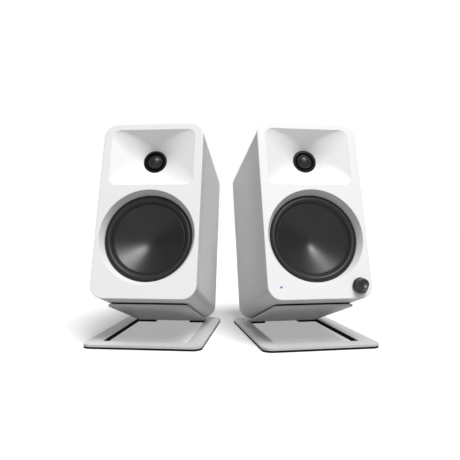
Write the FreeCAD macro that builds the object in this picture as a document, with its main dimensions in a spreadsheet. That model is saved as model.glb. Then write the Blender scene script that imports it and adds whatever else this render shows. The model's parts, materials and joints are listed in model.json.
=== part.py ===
"""A pair of desktop speakers on tilted steel stands.

Two frames are used for each side.  The unit frame has its origin on the floor, under the middle of
the base plate's front edge, with +Y to the back.  The speaker frame has its origin in the middle of
the cabinet's front bottom edge, with +Y into the cabinet (depth) and +Z up the front face (height).
The left speaker, at -X, is the passive one; the right speaker holds the amplifier.
"""

import FreeCAD, Part
import math
import os
import re

import Sketcher

# Driving dimensions, in millimetres and degrees: alias, value, meaning.
DIMENSIONS = [
    ("half_spacing", 82.7, "from the middle of the pair to each unit's centre line"),
    ("right_advance", 2.2, "how much nearer the right unit stands"),
    ("left_toe_out", 5.8, "how far the left unit is turned outwards"),
    ("right_toe_out", 10.0, "how far the right unit is turned outwards"),
    ("centre_across", 0.0, "moves the pair so that its box is centred on the origin"),
    ("centre_back", 0.0, "moves the pair so that its box is centred on the origin"),
    ("contact_gap", 0.2, "clearance between two bodies that rest on each other"),
    # Stand
    ("base_width", 110.8, "bent sheet, across"),
    ("base_depth", 154.4, "bent sheet, front to back"),
    ("base_corner", 9.0, "corner radius of the sheet"),
    ("sheet_thick", 2.5, "steel thickness"),
    ("base_pad_thick", 1.5, "foam under the base"),
    ("top_pad_thick", 1.5, "foam on the tilted plate"),
    ("tilt_angle", 16.4, "slope of the tilted plate"),
    ("bend_back", 138.8, "from the front edge to the bend line"),
    ("plate_width", 77.8, "tilted plate, across"),
    ("plate_length", 119.0, "tilted plate, from the bend to its front edge"),
    ("plate_corner", 4.0, "corner radius of the tilted plate"),
    ("plate_slot", 1.2, "cut between the tilted plate and the frame around it"),
    ("frame_front", 16.6, "front strip of the base"),
    ("base_pad_inset", 1.2, "foam set back from the sheet's edge"),
    ("top_pad_inset", 2.0, "foam set back from the tilted plate's edge"),
    ("pad_gap_width", 40.0, "gap in the foam behind the bend"),
    ("speaker_reach", 140.4, "from the bend to the cabinet's front edge, along the plate"),
    # Cabinet and baffle
    ("speaker_width", 100.0, "cabinet, across"),
    ("speaker_height", 176.0, "cabinet, up the front face"),
    ("speaker_depth", 139.0, "cabinet, front to back"),
    ("cabinet_corner", 13.5, "corner radius of the cabinet"),
    ("baffle_depth", 27.0, "moulded front, to the seam"),
    ("baffle_slab", 18.0, "solid part of the moulded front"),
    ("baffle_skirt", 4.0, "wall of the moulded front behind the slab"),
    ("seam", 0.2, "joint line between the moulded front and the cabinet"),
    ("wall", 6.0, "cabinet wall"),
    ("panel_width", 80.0, "rear panel"),
    ("panel_height", 142.0, "rear panel"),
    ("panel_corner", 3.5, "corner radius of the rear panel"),
    ("panel_thick", 2.5, "rear panel"),
    ("panel_bottom", 17.0, "rear panel's lower edge above the cabinet's bottom"),
    ("panel_ledge", 6.0, "cabinet ledge that the rear panel is screwed to"),
    ("panel_screw", 1.2, "screw shank radius"),
    # Waveguide and tweeter
    ("tweeter_height", 140.4, "tweeter axis above the cabinet's bottom"),
    ("horn_width", 84.0, "waveguide mouth"),
    ("horn_height", 58.8, "waveguide mouth"),
    ("horn_corner", 8.0, "waveguide mouth"),
    ("horn_depth", 13.6, "waveguide, face to throat"),
    ("throat_radius", 12.4, "waveguide throat"),
    ("tweeter_ring", 12.0, "outer radius of the tweeter's faceplate"),
    ("dome_radius", 7.2, "tweeter dome"),
    ("dome_height", 3.2, "tweeter dome"),
    # Woofer
    ("woofer_height", 59.8, "woofer axis above the cabinet's bottom"),
    ("flare_radius", 46.1, "white flare at the face"),
    ("ring_radius", 42.4, "woofer's black ring"),
    ("ring_depth", 7.4, "woofer's black ring, behind the face"),
    ("ring_gap", 0.3, "clearance round the ring"),
    ("flange_depth", 10.0, "square flange of the basket, behind the face"),
    ("flange_thick", 3.0, "square flange of the basket"),
    ("flange_size", 84.0, "square flange of the basket"),
    ("flange_corner", 9.0, "square flange of the basket"),
    ("flange_screw", 36.0, "flange screws, across and up from the axis"),
    ("surround_outer", 39.6, "half-roll surround"),
    ("surround_inner", 34.4, "half-roll surround"),
    ("cone_radius", 34.1, "cone's outer edge"),
    ("cone_front", 9.6, "cone's outer edge, behind the face"),
    ("cone_back", 24.0, "cone's middle, behind the face"),
    ("cone_thick", 1.2, "cone's wall"),
    ("coil_inner", 9.9, "voice coil"),
    ("coil_outer", 11.0, "voice coil"),
    ("magnet_radius", 31.0, "woofer magnet"),
    ("motor_front", 33.0, "woofer motor, behind the face"),
    # Controls on the active speaker
    ("knob_across", 37.3, "knob and light, from the centre line"),
    ("knob_height", 11.9, "knob and light, above the cabinet's bottom"),
    ("knob_base", 7.4, "knob radius beside the face"),
    ("knob_end", 4.8, "knob radius at its end"),
    ("knob_gap", 1.0, "knob, clear of the face so that it can be pressed"),
    ("knob_length", 9.5, "knob"),
    ("shaft_radius", 3.0, "encoder shaft"),
    ("light_radius", 0.9, "status light"),
    # Rear connectors
    ("port_height", 132.0, "bass port axis"),
    ("port_inner", 13.0, "bass port bore"),
    ("port_outer", 14.6, "bass port tube"),
    ("post_height", 36.0, "binding posts"),
    ("post_across", 9.5, "binding posts, from the centre line"),
    ("post_bore", 2.0, "plug socket in each binding post"),
    ("post_outer", 2.7, "metal of each binding post"),
    ("phono_across", 10.0, "phono sockets, from the centre line"),
    ("phono_height", 62.0, "phono sockets"),
    ("phono_outer", 4.15, "phono socket shell"),
    ("inlet_across", -22.0, "power inlet"),
    ("inlet_height", 88.0, "power inlet"),
    ("inlet_bore", 2.75, "power inlet"),
    ("data_across", 20.0, "data socket"),
    ("data_height", 88.0, "data socket"),
]
ALIASES = {alias for alias, _, _ in DIMENSIONS}
SPEAKER_SIDES = ("left", "right")
SHEET = "Dims"
WHOLE_TURN = 360.0

doc = FreeCAD.newDocument("desktop_speakers")
parts = []


def make_sheet():
    sheet = doc.addObject("Spreadsheet::Sheet", SHEET)
    for row, (alias, value, meaning) in enumerate(DIMENSIONS, start=1):
        sheet.set(f"A{row}", meaning)
        sheet.set(f"B{row}", str(value))
        sheet.setAlias(f"B{row}", alias)
    doc.recompute()
    return sheet


dims = make_sheet()


def bound(expression):
    """The expression with each dimension's name pointing at its cell."""
    return re.sub(
        r"[a-z_]+",
        lambda word: f"{SHEET}.{word.group()}" if word.group() in ALIASES else word.group(),
        str(expression),
    )


def value(expression):
    """What the expression is worth now; it starts the drawings close to their solution."""
    result = dims.evalExpression(str(expression))
    return float(getattr(result, "Value", result))


def make_frame(name, across, back, up, turn, tilt):
    frame = doc.addObject("App::Placement", name)
    frame.setExpression(
        "Placement",
        f"create(<<placement>>; create(<<vector>>; {bound(across)}; {bound(back)}; {bound(up)}); "
        f"create(<<rotation>>; {bound(turn)}; 0; {bound(tilt)}))",
    )


def make_frames():
    """A unit frame on the floor and a tilted speaker frame for each side."""
    top = "base_pad_thick + sheet_thick"
    bend = "(bend_back + sheet_thick * tan(tilt_angle / 2))"
    lift = "(top_pad_thick + contact_gap)"
    local_back = f"({bend} - speaker_reach * cos(tilt_angle) + {lift} * sin(tilt_angle))"
    local_up = f"{top} + speaker_reach * sin(tilt_angle) + {lift} * cos(tilt_angle)"
    for side, across, back, turn in (
        ("left", "centre_across - half_spacing", "centre_back + right_advance / 2", "-left_toe_out"),
        ("right", "centre_across + half_spacing", "centre_back - right_advance / 2", "right_toe_out"),
    ):
        make_frame(f"{side}_unit", across, back, "0", turn, "0")
        make_frame(
            f"{side}_speaker",
            f"{across} - {local_back} * sin({turn})",
            f"{back} + {local_back} * cos({turn})",
            local_up,
            turn,
            "-tilt_angle",
        )


def new_body(label, frame):
    body = doc.addObject("PartDesign::Body", label)
    body.Label = label
    body.setExpression("Placement", f"{frame}.Placement")
    parts.append(body)
    return body


def new_sketch(body, plane, across="0", up="0", along="0"):
    """A sketch on one of the body's own planes, moved in the sketch's own axes."""
    sketch = body.newObject("Sketcher::SketchObject", f"{body.Name}_sketch")
    support = [feature for feature in body.Origin.OriginFeatures if feature.Role == plane][0]
    sketch.AttachmentSupport = [(support, "")]
    sketch.MapMode = "FlatFace"
    for axis, expression in (("x", across), ("y", up), ("z", along)):
        if expression != "0":
            sketch.setExpression(f"AttachmentOffset.Base.{axis}", bound(expression))
    return sketch


def front_sketch(body, depth="0"):
    """A sketch seen from the front: across is X, up is Z, set back by depth."""
    return new_sketch(body, "XZ_Plane", along=f"-({depth})" if depth != "0" else "0")


def pin_vertex(sketch, edge, vertex, across, up):
    """Ties a vertex to the sketch's origin by two dimensions."""
    for kind, axis, expression in (("DistanceX", -2, across), ("DistanceY", -1, up)):
        amount = value(expression)
        if abs(amount) < 1e-9:
            sketch.addConstraint(Sketcher.Constraint("PointOnObject", edge, vertex, axis))
        else:
            index = sketch.addConstraint(Sketcher.Constraint(kind, -1, 1, edge, vertex, amount))
            sketch.setExpression(f"Constraints[{index}]", bound(expression))


def draw_outline(sketch, corners):
    """A closed outline of straight lines; each corner is two expressions."""
    points = [FreeCAD.Vector(value(across), value(up), 0) for across, up in corners]
    count = len(points)
    first = sketch.GeometryCount
    for index in range(count):
        sketch.addGeometry(Part.LineSegment(points[index], points[(index + 1) % count]))
    for index, (across, up) in enumerate(corners):
        following = first + (index + 1) % count
        sketch.addConstraint(Sketcher.Constraint("Coincident", first + index, 2, following, 1))
        pin_vertex(sketch, first + index, 1, across, up)


def draw_rounded_rectangle(sketch, left, right, bottom, top, radius):
    """Four lines and four tangent arcs; the arcs' centres are dimensioned."""
    low_x, high_x, low_y, high_y, r = [value(v) for v in (left, right, bottom, top, radius)]
    centres = [
        (high_x - r, high_y - r, f"{right} - {radius}", f"{top} - {radius}"),
        (low_x + r, high_y - r, f"{left} + {radius}", f"{top} - {radius}"),
        (low_x + r, low_y + r, f"{left} + {radius}", f"{bottom} + {radius}"),
        (high_x - r, low_y + r, f"{right} - {radius}", f"{bottom} + {radius}"),
    ]
    first = sketch.GeometryCount
    ends = []
    for index, (x, y, across, up) in enumerate(centres):
        circle = Part.Circle(FreeCAD.Vector(x, y, 0), FreeCAD.Vector(0, 0, 1), r)
        start = index * math.pi / 2
        arc = Part.ArcOfCircle(circle, start, start + math.pi / 2)
        sketch.addGeometry(arc)
        ends.append((arc.StartPoint, arc.EndPoint))
    for index in range(4):
        sketch.addGeometry(Part.LineSegment(ends[index][1], ends[(index + 1) % 4][0]))
    for index, (x, y, across, up) in enumerate(centres):
        arc = first + index
        line_after = first + 4 + index
        next_arc = first + (index + 1) % 4
        sketch.addConstraint(Sketcher.Constraint("Tangent", arc, 2, line_after, 1))
        sketch.addConstraint(Sketcher.Constraint("Tangent", line_after, 2, next_arc, 1))
        pin_vertex(sketch, arc, 3, across, up)
        index = sketch.addConstraint(Sketcher.Constraint("Radius", arc, r))
        sketch.setExpression(f"Constraints[{index}]", bound(radius))


def draw_circle(sketch, across, up, radius):
    centre = FreeCAD.Vector(value(across), value(up), 0)
    edge = sketch.addGeometry(Part.Circle(centre, FreeCAD.Vector(0, 0, 1), value(radius)))
    pin_vertex(sketch, edge, 3, across, up)
    index = sketch.addConstraint(Sketcher.Constraint("Radius", edge, value(radius)))
    sketch.setExpression(f"Constraints[{index}]", bound(radius))


def pad(body, sketch, length, reverse=False, midplane=False):
    feature = body.newObject("PartDesign::Pad", f"{body.Name}_pad")
    feature.Profile = sketch
    feature.setExpression("Length", bound(length))
    feature.Reversed = reverse
    feature.Midplane = midplane
    doc.recompute()
    return feature


def pocket(body, sketch, length=None, reverse=False):
    """Cuts along the sketch's normal reversed, or along it when reverse is set; None cuts through."""
    before = body.Shape.Volume
    feature = body.newObject("PartDesign::Pocket", f"{body.Name}_pocket")
    feature.Profile = sketch
    if length is None:
        feature.Type = "ThroughAll"
    else:
        feature.setExpression("Length", bound(length))
    feature.Reversed = reverse
    doc.recompute()
    if not body.Shape.Volume < before - 0.1:
        raise RuntimeError(f"a pocket in {body.Label} cuts nothing")
    return feature


def revolve(body, corners, across="0", up="0", cut=False):
    """Turns a (depth, radius) outline about an axis that runs front to back."""
    sketch = new_sketch(body, "YZ_Plane", up=up, along=across)
    draw_outline(sketch, corners)
    before = body.Shape.Volume if cut else 0
    kind = "PartDesign::Groove" if cut else "PartDesign::Revolution"
    feature = body.newObject(kind, f"{body.Name}_turned")
    feature.Profile = sketch
    feature.ReferenceAxis = (sketch, ["H_Axis"])
    feature.Angle = WHOLE_TURN
    doc.recompute()
    if cut and not body.Shape.Volume < before - 0.1:
        raise RuntimeError(f"a groove in {body.Label} cuts nothing")
    return feature


def turned_part(label, frame, corners, across="0", up="0"):
    body = new_body(label, frame)
    revolve(body, corners, across, up)
    return body


def group_parts(label, frame, members):
    """Several equal solids as one sub-part; the members are drawn in the frame's own axes."""
    group = doc.addObject("Part::Compound", label)
    group.Label = label
    group.Links = members
    group.setExpression("Placement", f"{frame}.Placement")
    parts.append(group)
    return group


def depth_cylinder(name, radius, start, length, across, up):
    """A cylinder that points into the cabinet."""
    cylinder = doc.addObject("Part::Cylinder", name)
    cylinder.setExpression("Radius", bound(radius))
    cylinder.setExpression("Height", bound(length))
    cylinder.Placement = FreeCAD.Placement(
        FreeCAD.Vector(), FreeCAD.Rotation(FreeCAD.Vector(1, 0, 0), -90)
    )
    for axis, expression in (("x", across), ("y", start), ("z", up)):
        cylinder.setExpression(f"Placement.Base.{axis}", bound(expression))
    return cylinder


def depth_screw(name, head_radius, head_start, head_length, shank, shank_start, shank_length, spot):
    across, up = spot
    fuse = doc.addObject("Part::Fuse", name)
    fuse.Base = depth_cylinder(f"{name}_head", head_radius, head_start, head_length, across, up)
    fuse.Tool = depth_cylinder(f"{name}_shank", shank, shank_start, shank_length, across, up)
    return fuse


def box_part(label, frame, across, depth, up, width, length, height, corner="2"):
    """A rounded plate or block seen from the front, centred across on `across`, standing on `up`."""
    body = new_body(label, frame)
    sketch = front_sketch(body, depth)
    draw_rounded_rectangle(
        sketch,
        f"({across} - {width} / 2)",
        f"({across} + {width} / 2)",
        f"({up})",
        f"({up} + {height})",
        corner,
    )
    pad(body, sketch, length, reverse=True)
    return body


# ---------------------------------------------------------------- stand


def make_stand_sheet(side):
    """One sheet of steel: a frame on the desk and the plate bent up out of it."""
    body = new_body(f"{side}_stand_sheet", f"{side}_unit")
    base = new_sketch(body, "XY_Plane", along="base_pad_thick")
    draw_rounded_rectangle(
        base, "-base_width / 2", "base_width / 2", "0", "base_depth", "base_corner"
    )
    slot = "(plate_width / 2 + plate_slot)"
    draw_rounded_rectangle(base, f"-{slot}", slot, "frame_front", "bend_back", "plate_slot")
    pad(body, base, "sheet_thick")
    section = new_sketch(body, "YZ_Plane")
    back = "bend_back"
    low = "base_pad_thick"
    reach = f"{back} - plate_length * cos(tilt_angle)"
    climb = f"{low} + plate_length * sin(tilt_angle)"
    draw_outline(
        section,
        [
            (f"{back} + sheet_thick", low),
            (back, low),
            (reach, climb),
            (f"{reach} + sheet_thick * sin(tilt_angle)", f"{climb} + sheet_thick * cos(tilt_angle)"),
            (f"{back} + sheet_thick * tan(tilt_angle / 2)", f"{low} + sheet_thick"),
            (f"{back} + sheet_thick", f"{low} + sheet_thick"),
        ],
    )
    pad(body, section, "plate_width", midplane=True)


def make_base_pad(side):
    """Foam under the base: open in the middle, with a gap behind the bend."""
    body = new_body(f"{side}_base_pad", f"{side}_unit")
    outer = new_sketch(body, "XY_Plane")
    edge = "base_pad_inset"
    draw_rounded_rectangle(
        outer,
        f"{edge} - base_width / 2",
        f"base_width / 2 - {edge}",
        edge,
        f"base_depth - {edge}",
        f"(base_corner - {edge})",
    )
    slot = "(plate_width / 2 + plate_slot)"
    draw_rounded_rectangle(outer, f"-{slot}", slot, "frame_front", "bend_back", "plate_slot")
    pad(body, outer, "base_pad_thick")
    gap = new_sketch(body, "XY_Plane")
    draw_outline(
        gap,
        [
            ("-pad_gap_width / 2", "bend_back - 5"),
            ("pad_gap_width / 2", "bend_back - 5"),
            ("pad_gap_width / 2", "base_depth + 5"),
            ("-pad_gap_width / 2", "base_depth + 5"),
        ],
    )
    pocket(body, gap, reverse=True)


def make_plate_pad(side):
    """Foam on the tilted plate, drawn in the speaker frame, just under the cabinet."""
    body = new_body(f"{side}_plate_pad", f"{side}_speaker")
    sketch = new_sketch(body, "XY_Plane", along="-(top_pad_thick + contact_gap)")
    front = "(speaker_reach - plate_length)"
    draw_rounded_rectangle(
        sketch,
        "top_pad_inset - plate_width / 2",
        "plate_width / 2 - top_pad_inset",
        f"{front} + top_pad_inset",
        "speaker_reach - 8",
        "plate_corner",
    )
    pad(body, sketch, "top_pad_thick")


# ---------------------------------------------------------------- enclosure


def make_front_baffle(side):
    body = new_body(f"{side}_front_baffle", f"{side}_speaker")
    face = front_sketch(body)
    draw_rounded_rectangle(
        face, "-speaker_width / 2", "speaker_width / 2", "0", "speaker_height", "cabinet_corner"
    )
    pad(body, face, "baffle_depth", reverse=True)
    hollow = front_sketch(body, "baffle_slab")
    skirt = "baffle_skirt"
    draw_rounded_rectangle(
        hollow,
        f"{skirt} - speaker_width / 2",
        f"speaker_width / 2 - {skirt}",
        skirt,
        f"speaker_height - {skirt}",
        f"(cabinet_corner - {skirt})",
    )
    pocket(body, hollow, "baffle_depth - baffle_slab")
    cut_waveguide(body)
    cut_woofer_seat(body)
    bore = "(tweeter_ring + 0.4)"
    revolve(
        body,
        [("horn_depth - 0.5", "0"), ("horn_depth - 0.5", bore), ("20", bore), ("20", "0")],
        up="tweeter_height",
        cut=True,
    )
    if side == "right":
        holes = front_sketch(body)
        draw_circle(holes, "knob_across", "knob_height", "shaft_radius + 0.9")
        draw_circle(holes, "-knob_across", "knob_height", "light_radius + 0.1")
        pocket(body, holes)


def cut_waveguide(body):
    """A soft funnel from the rounded mouth to the round throat."""
    mouth = front_sketch(body)
    draw_rounded_rectangle(
        mouth,
        "-horn_width / 2",
        "horn_width / 2",
        "tweeter_height - horn_height / 2",
        "tweeter_height + horn_height / 2",
        "horn_corner",
    )
    throat = front_sketch(body, "horn_depth")
    half = "(throat_radius + 0.5)"
    draw_rounded_rectangle(
        throat,
        f"-{half}",
        half,
        f"tweeter_height - {half}",
        f"tweeter_height + {half}",
        "throat_radius",
    )
    before = body.Shape.Volume
    funnel = body.newObject("PartDesign::SubtractiveLoft", f"{body.Name}_waveguide")
    funnel.Profile = mouth
    funnel.Sections = [throat]
    doc.recompute()
    if not body.Shape.Volume < before - 0.1:
        raise RuntimeError("the waveguide cuts nothing")


def cut_woofer_seat(body):
    """The flare and the bore for the ring, then the square seat for the basket's flange."""
    hole = "(ring_radius + ring_gap)"
    revolve(
        body,
        [("0", "0"), ("0", "flare_radius"), ("ring_depth", hole), ("20", hole), ("20", "0")],
        up="woofer_height",
        cut=True,
    )
    seat = front_sketch(body, "flange_depth")
    half = "(flange_size / 2 + 0.3)"
    draw_rounded_rectangle(
        seat,
        f"-{half}",
        half,
        f"woofer_height - {half}",
        f"woofer_height + {half}",
        "flange_corner",
    )
    pocket(body, seat, "baffle_slab - flange_depth + 1")
    screws = front_sketch(body, "flange_depth - 6")
    for across, up in corner_spots("flange_screw", "woofer_height"):
        draw_circle(screws, across, up, "1.5")
    pocket(body, screws, "8")


def corner_spots(offset, height):
    return [
        (f"{sign_x}{offset}", f"{height} {sign_y} {offset}")
        for sign_x in ("-", "")
        for sign_y in ("-", "+")
    ]


def panel_spots():
    low = "panel_bottom + panel_ledge / 2"
    high = "panel_bottom + panel_height - panel_ledge / 2"
    return [
        (f"{sign}(panel_width / 2 - panel_ledge / 2)", up) for sign in ("-", "") for up in (low, high)
    ]


def make_cabinet(side):
    """A box with rounded long edges, open at the front, with a window for the rear panel."""
    body = new_body(f"{side}_cabinet", f"{side}_speaker")
    start = "(baffle_depth + seam)"
    outer = front_sketch(body, start)
    draw_rounded_rectangle(
        outer, "-speaker_width / 2", "speaker_width / 2", "0", "speaker_height", "cabinet_corner"
    )
    pad(body, outer, f"speaker_depth - {start}", reverse=True)
    inner = front_sketch(body, start)
    draw_rounded_rectangle(
        inner,
        "wall - speaker_width / 2",
        "speaker_width / 2 - wall",
        "wall",
        "speaker_height - wall",
        "(cabinet_corner - wall)",
    )
    pocket(body, inner, f"speaker_depth - {start} - wall")
    recess = front_sketch(body, "speaker_depth - panel_thick")
    draw_panel_outline(recess, "0")
    pocket(body, recess, "panel_thick + 1")
    window = front_sketch(body, "speaker_depth - wall - 1")
    draw_panel_outline(window, "panel_ledge")
    pocket(body, window, "wall + 2")
    screws = front_sketch(body, "speaker_depth - wall - 1")
    for across, up in panel_spots():
        draw_circle(screws, across, up, "panel_screw + 0.05")
    pocket(body, screws, "wall + 2")


def draw_panel_outline(sketch, inset):
    draw_rounded_rectangle(
        sketch,
        f"{inset} - panel_width / 2",
        f"panel_width / 2 - {inset}",
        f"panel_bottom + {inset}",
        f"panel_bottom + panel_height - {inset}",
        "panel_corner" if inset == "0" else "2",
    )


def make_rear_panel(side):
    body = new_body(f"{side}_rear_panel", f"{side}_speaker")
    sketch = front_sketch(body, "speaker_depth - panel_thick")
    draw_rounded_rectangle(
        sketch,
        "0.15 - panel_width / 2",
        "panel_width / 2 - 0.15",
        "panel_bottom + 0.15",
        "panel_bottom + panel_height - 0.15",
        "panel_corner",
    )
    pad(body, sketch, "panel_thick", reverse=True)
    holes = front_sketch(body, "speaker_depth - panel_thick - 1")
    for across, up in panel_spots():
        draw_circle(holes, across, up, "panel_screw + 0.2")
    draw_circle(holes, "0", "port_height", "port_outer + 0.2")
    for across in ("-post_across", "post_across"):
        draw_circle(holes, across, "post_height", "post_outer + 0.4")
    if side == "right":
        for across in ("-phono_across", "phono_across"):
            draw_circle(holes, across, "phono_height", "phono_outer + 0.2")
        draw_circle(holes, "inlet_across", "inlet_height", "inlet_bore + 2.2")
        draw_rounded_rectangle(
            holes,
            "data_across - 4.8",
            "data_across + 4.8",
            "data_height - 2.0",
            "data_height + 2.0",
            "1.5",
        )
    pocket(body, holes, "panel_thick + 2")


def make_bass_port(side):
    back = "speaker_depth"
    turned_part(
        f"{side}_bass_port",
        f"{side}_speaker",
        [
            ("80", "port_inner"),
            ("80", "port_outer"),
            (back, "port_outer"),
            (back, "port_outer + 4.5"),
            (f"{back} + 1.6", "port_outer + 3"),
            (f"{back} + 1.6", "port_inner + 2"),
            (f"{back} - 3", "port_inner"),
        ],
        up="port_height",
    )


def make_fasteners(side):
    frame = f"{side}_speaker"
    woofer_screws = [
        depth_screw(
            f"{side}_woofer_screw_{index}",
            "3",
            "flange_depth + flange_thick",
            "2.2",
            "1.4",
            "flange_depth - 5",
            "flange_thick + 5.5",
            spot,
        )
        for index, spot in enumerate(corner_spots("flange_screw", "woofer_height"))
    ]
    group_parts(f"{side}_woofer_screws", frame, woofer_screws)
    panel_screws = [
        depth_screw(
            f"{side}_panel_screw_{index}",
            "2.4",
            "speaker_depth",
            "1.3",
            "panel_screw",
            "speaker_depth - wall - 4",
            "wall + 4.5",
            spot,
        )
        for index, spot in enumerate(panel_spots())
    ]
    group_parts(f"{side}_panel_screws", frame, panel_screws)


def make_wadding(side):
    box_part(f"{side}_acoustic_wadding", f"{side}_speaker", "0", "58", "10", "80", "44", "100", "8")


# ---------------------------------------------------------------- drive units


def make_basket(side):
    """Pressed frame: front ring, square flange and a tapered body down to the motor."""
    body = new_body(f"{side}_woofer_basket", f"{side}_speaker")
    flange = front_sketch(body, "flange_depth")
    half = "flange_size / 2"
    draw_rounded_rectangle(
        flange, f"-{half}", half, f"woofer_height - {half}", f"woofer_height + {half}", "flange_corner"
    )
    pad(body, flange, "flange_thick", reverse=True)
    revolve(
        body,
        [
            ("ring_depth", "surround_outer"),
            ("ring_depth", "ring_radius"),
            ("flange_depth + flange_thick", "ring_radius"),
            ("flange_depth + flange_thick", "surround_outer - 1"),
            ("motor_front", "26"),
            ("motor_front", "24"),
            ("flange_depth + flange_thick - 1", "surround_outer - 3.6"),
        ],
        up="woofer_height",
    )
    revolve(
        body,
        [
            ("ring_depth - 1", "0"),
            ("ring_depth - 1", "surround_outer"),
            ("flange_depth + 0.4", "surround_outer"),
            ("flange_depth + 0.4", "surround_outer - 3.6"),
            ("flange_depth + flange_thick - 1", "surround_outer - 3.6"),
            ("motor_front", "24"),
            ("motor_front", "0"),
        ],
        up="woofer_height",
        cut=True,
    )
    screws = front_sketch(body, "flange_depth - 1")
    for across, up in corner_spots("flange_screw", "woofer_height"):
        draw_circle(screws, across, up, "1.7")
    pocket(body, screws, "flange_thick + 2")


def make_surround(side):
    """Rubber half-roll, glued into the ring, that lets the cone move."""
    middle = "(surround_inner + surround_outer) / 2"
    turned_part(
        f"{side}_woofer_surround",
        f"{side}_speaker",
        [
            ("ring_depth + 1.6", "surround_inner"),
            ("ring_depth - 0.9", f"{middle} - 1.8"),
            ("ring_depth - 1.6", middle),
            ("ring_depth - 0.9", f"{middle} + 1.8"),
            ("ring_depth + 1.2", "surround_outer - 0.05"),
            ("flange_depth + 0.3", "surround_outer - 0.05"),
            ("flange_depth + 0.3", "surround_outer - 1.2"),
            ("ring_depth + 0.3", middle),
            ("ring_depth + 2.4", "surround_inner"),
        ],
        up="woofer_height",
    )


def make_cone(side):
    """Smooth concave cone with a rounded middle and no dust cap."""
    turned_part(
        f"{side}_woofer_cone",
        f"{side}_speaker",
        [
            ("cone_front", "cone_radius"),
            ("cone_front + (cone_back - cone_front) * 0.55", "cone_radius * 0.55"),
            ("cone_front + (cone_back - cone_front) * 0.88", "cone_radius * 0.25"),
            ("cone_back", "0"),
            ("cone_back + cone_thick", "0"),
            ("cone_front + (cone_back - cone_front) * 0.88 + cone_thick", "cone_radius * 0.25"),
            ("cone_front + (cone_back - cone_front) * 0.55 + cone_thick", "cone_radius * 0.55"),
            ("cone_front + cone_thick", "cone_radius"),
        ],
        up="woofer_height",
    )


def make_voice_coil(side):
    """Former and winding, on the back of the cone and down into the motor's gap."""
    front = "(cone_front + (cone_back - cone_front) * 0.84 + cone_thick)"
    turned_part(
        f"{side}_voice_coil",
        f"{side}_speaker",
        [(front, "coil_inner"), (front, "coil_outer"), ("40.5", "coil_outer"), ("40.5", "coil_inner")],
        up="woofer_height",
    )


def make_spider(side):
    """Corrugated centring ring between the basket and the voice coil."""
    turned_part(
        f"{side}_woofer_spider",
        f"{side}_speaker",
        [
            ("29.0", "coil_outer + 0.35"),
            ("30.5", "15"),
            ("29.0", "18.5"),
            ("30.5", "22"),
            ("30.5", "24.6"),
            ("31.0", "24.6"),
            ("31.0", "22"),
            ("29.6", "18.5"),
            ("31.1", "15"),
            ("29.6", "coil_outer + 0.35"),
        ],
        up="woofer_height",
    )


def make_woofer_motor(side):
    frame = f"{side}_speaker"
    front = "motor_front"
    gap = "coil_outer + 0.5"
    turned_part(
        f"{side}_woofer_top_plate",
        frame,
        [(front, gap), (front, "30"), (f"{front} + 4", "30"), (f"{front} + 4", gap)],
        up="woofer_height",
    )
    turned_part(
        f"{side}_woofer_magnet",
        frame,
        [
            (f"{front} + 4", "14"),
            (f"{front} + 4", "magnet_radius"),
            (f"{front} + 15", "magnet_radius"),
            (f"{front} + 15", "14"),
        ],
        up="woofer_height",
    )
    turned_part(
        f"{side}_woofer_yoke",
        frame,
        [
            (front, "0"),
            (front, "coil_inner - 0.5"),
            (f"{front} + 15", "coil_inner - 0.5"),
            (f"{front} + 15", "30"),
            (f"{front} + 19", "30"),
            (f"{front} + 19", "0"),
        ],
        up="woofer_height",
    )


def make_tweeter(side):
    frame = f"{side}_speaker"
    front = "horn_depth"
    turned_part(
        f"{side}_tweeter_faceplate",
        frame,
        [
            (f"{front} + 0.8", "dome_radius + 0.9"),
            (front, "dome_radius + 2"),
            (f"{front} - 0.4", "tweeter_ring - 1"),
            (f"{front} + 0.2", "tweeter_ring"),
            ("baffle_slab", "tweeter_ring"),
            ("baffle_slab", "17"),
            ("baffle_slab + 2", "17"),
            ("baffle_slab + 2", "dome_radius + 0.9"),
        ],
        up="tweeter_height",
    )
    turned_part(
        f"{side}_tweeter_dome",
        frame,
        [
            (f"{front} + 0.6", "dome_radius"),
            (f"{front} - dome_height * 0.45", "dome_radius * 0.75"),
            (f"{front} - dome_height * 0.85", "dome_radius * 0.4"),
            (f"{front} - dome_height", "0"),
            (f"{front} - dome_height + 0.8", "0"),
            (f"{front} - dome_height * 0.85 + 0.8", "dome_radius * 0.35"),
            (f"{front} - dome_height * 0.45 + 0.8", "dome_radius * 0.66"),
            (f"{front} + 1.2", "dome_radius - 0.8"),
            ("19", "dome_radius - 0.8"),
            ("19", "dome_radius"),
        ],
        up="tweeter_height",
    )
    turned_part(
        f"{side}_tweeter_motor",
        frame,
        [
            ("baffle_slab + 2", "0"),
            ("baffle_slab + 2", "15"),
            ("baffle_slab + 16", "15"),
            ("baffle_slab + 16", "0"),
        ],
        up="tweeter_height",
    )


# ---------------------------------------------------------------- terminals


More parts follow.
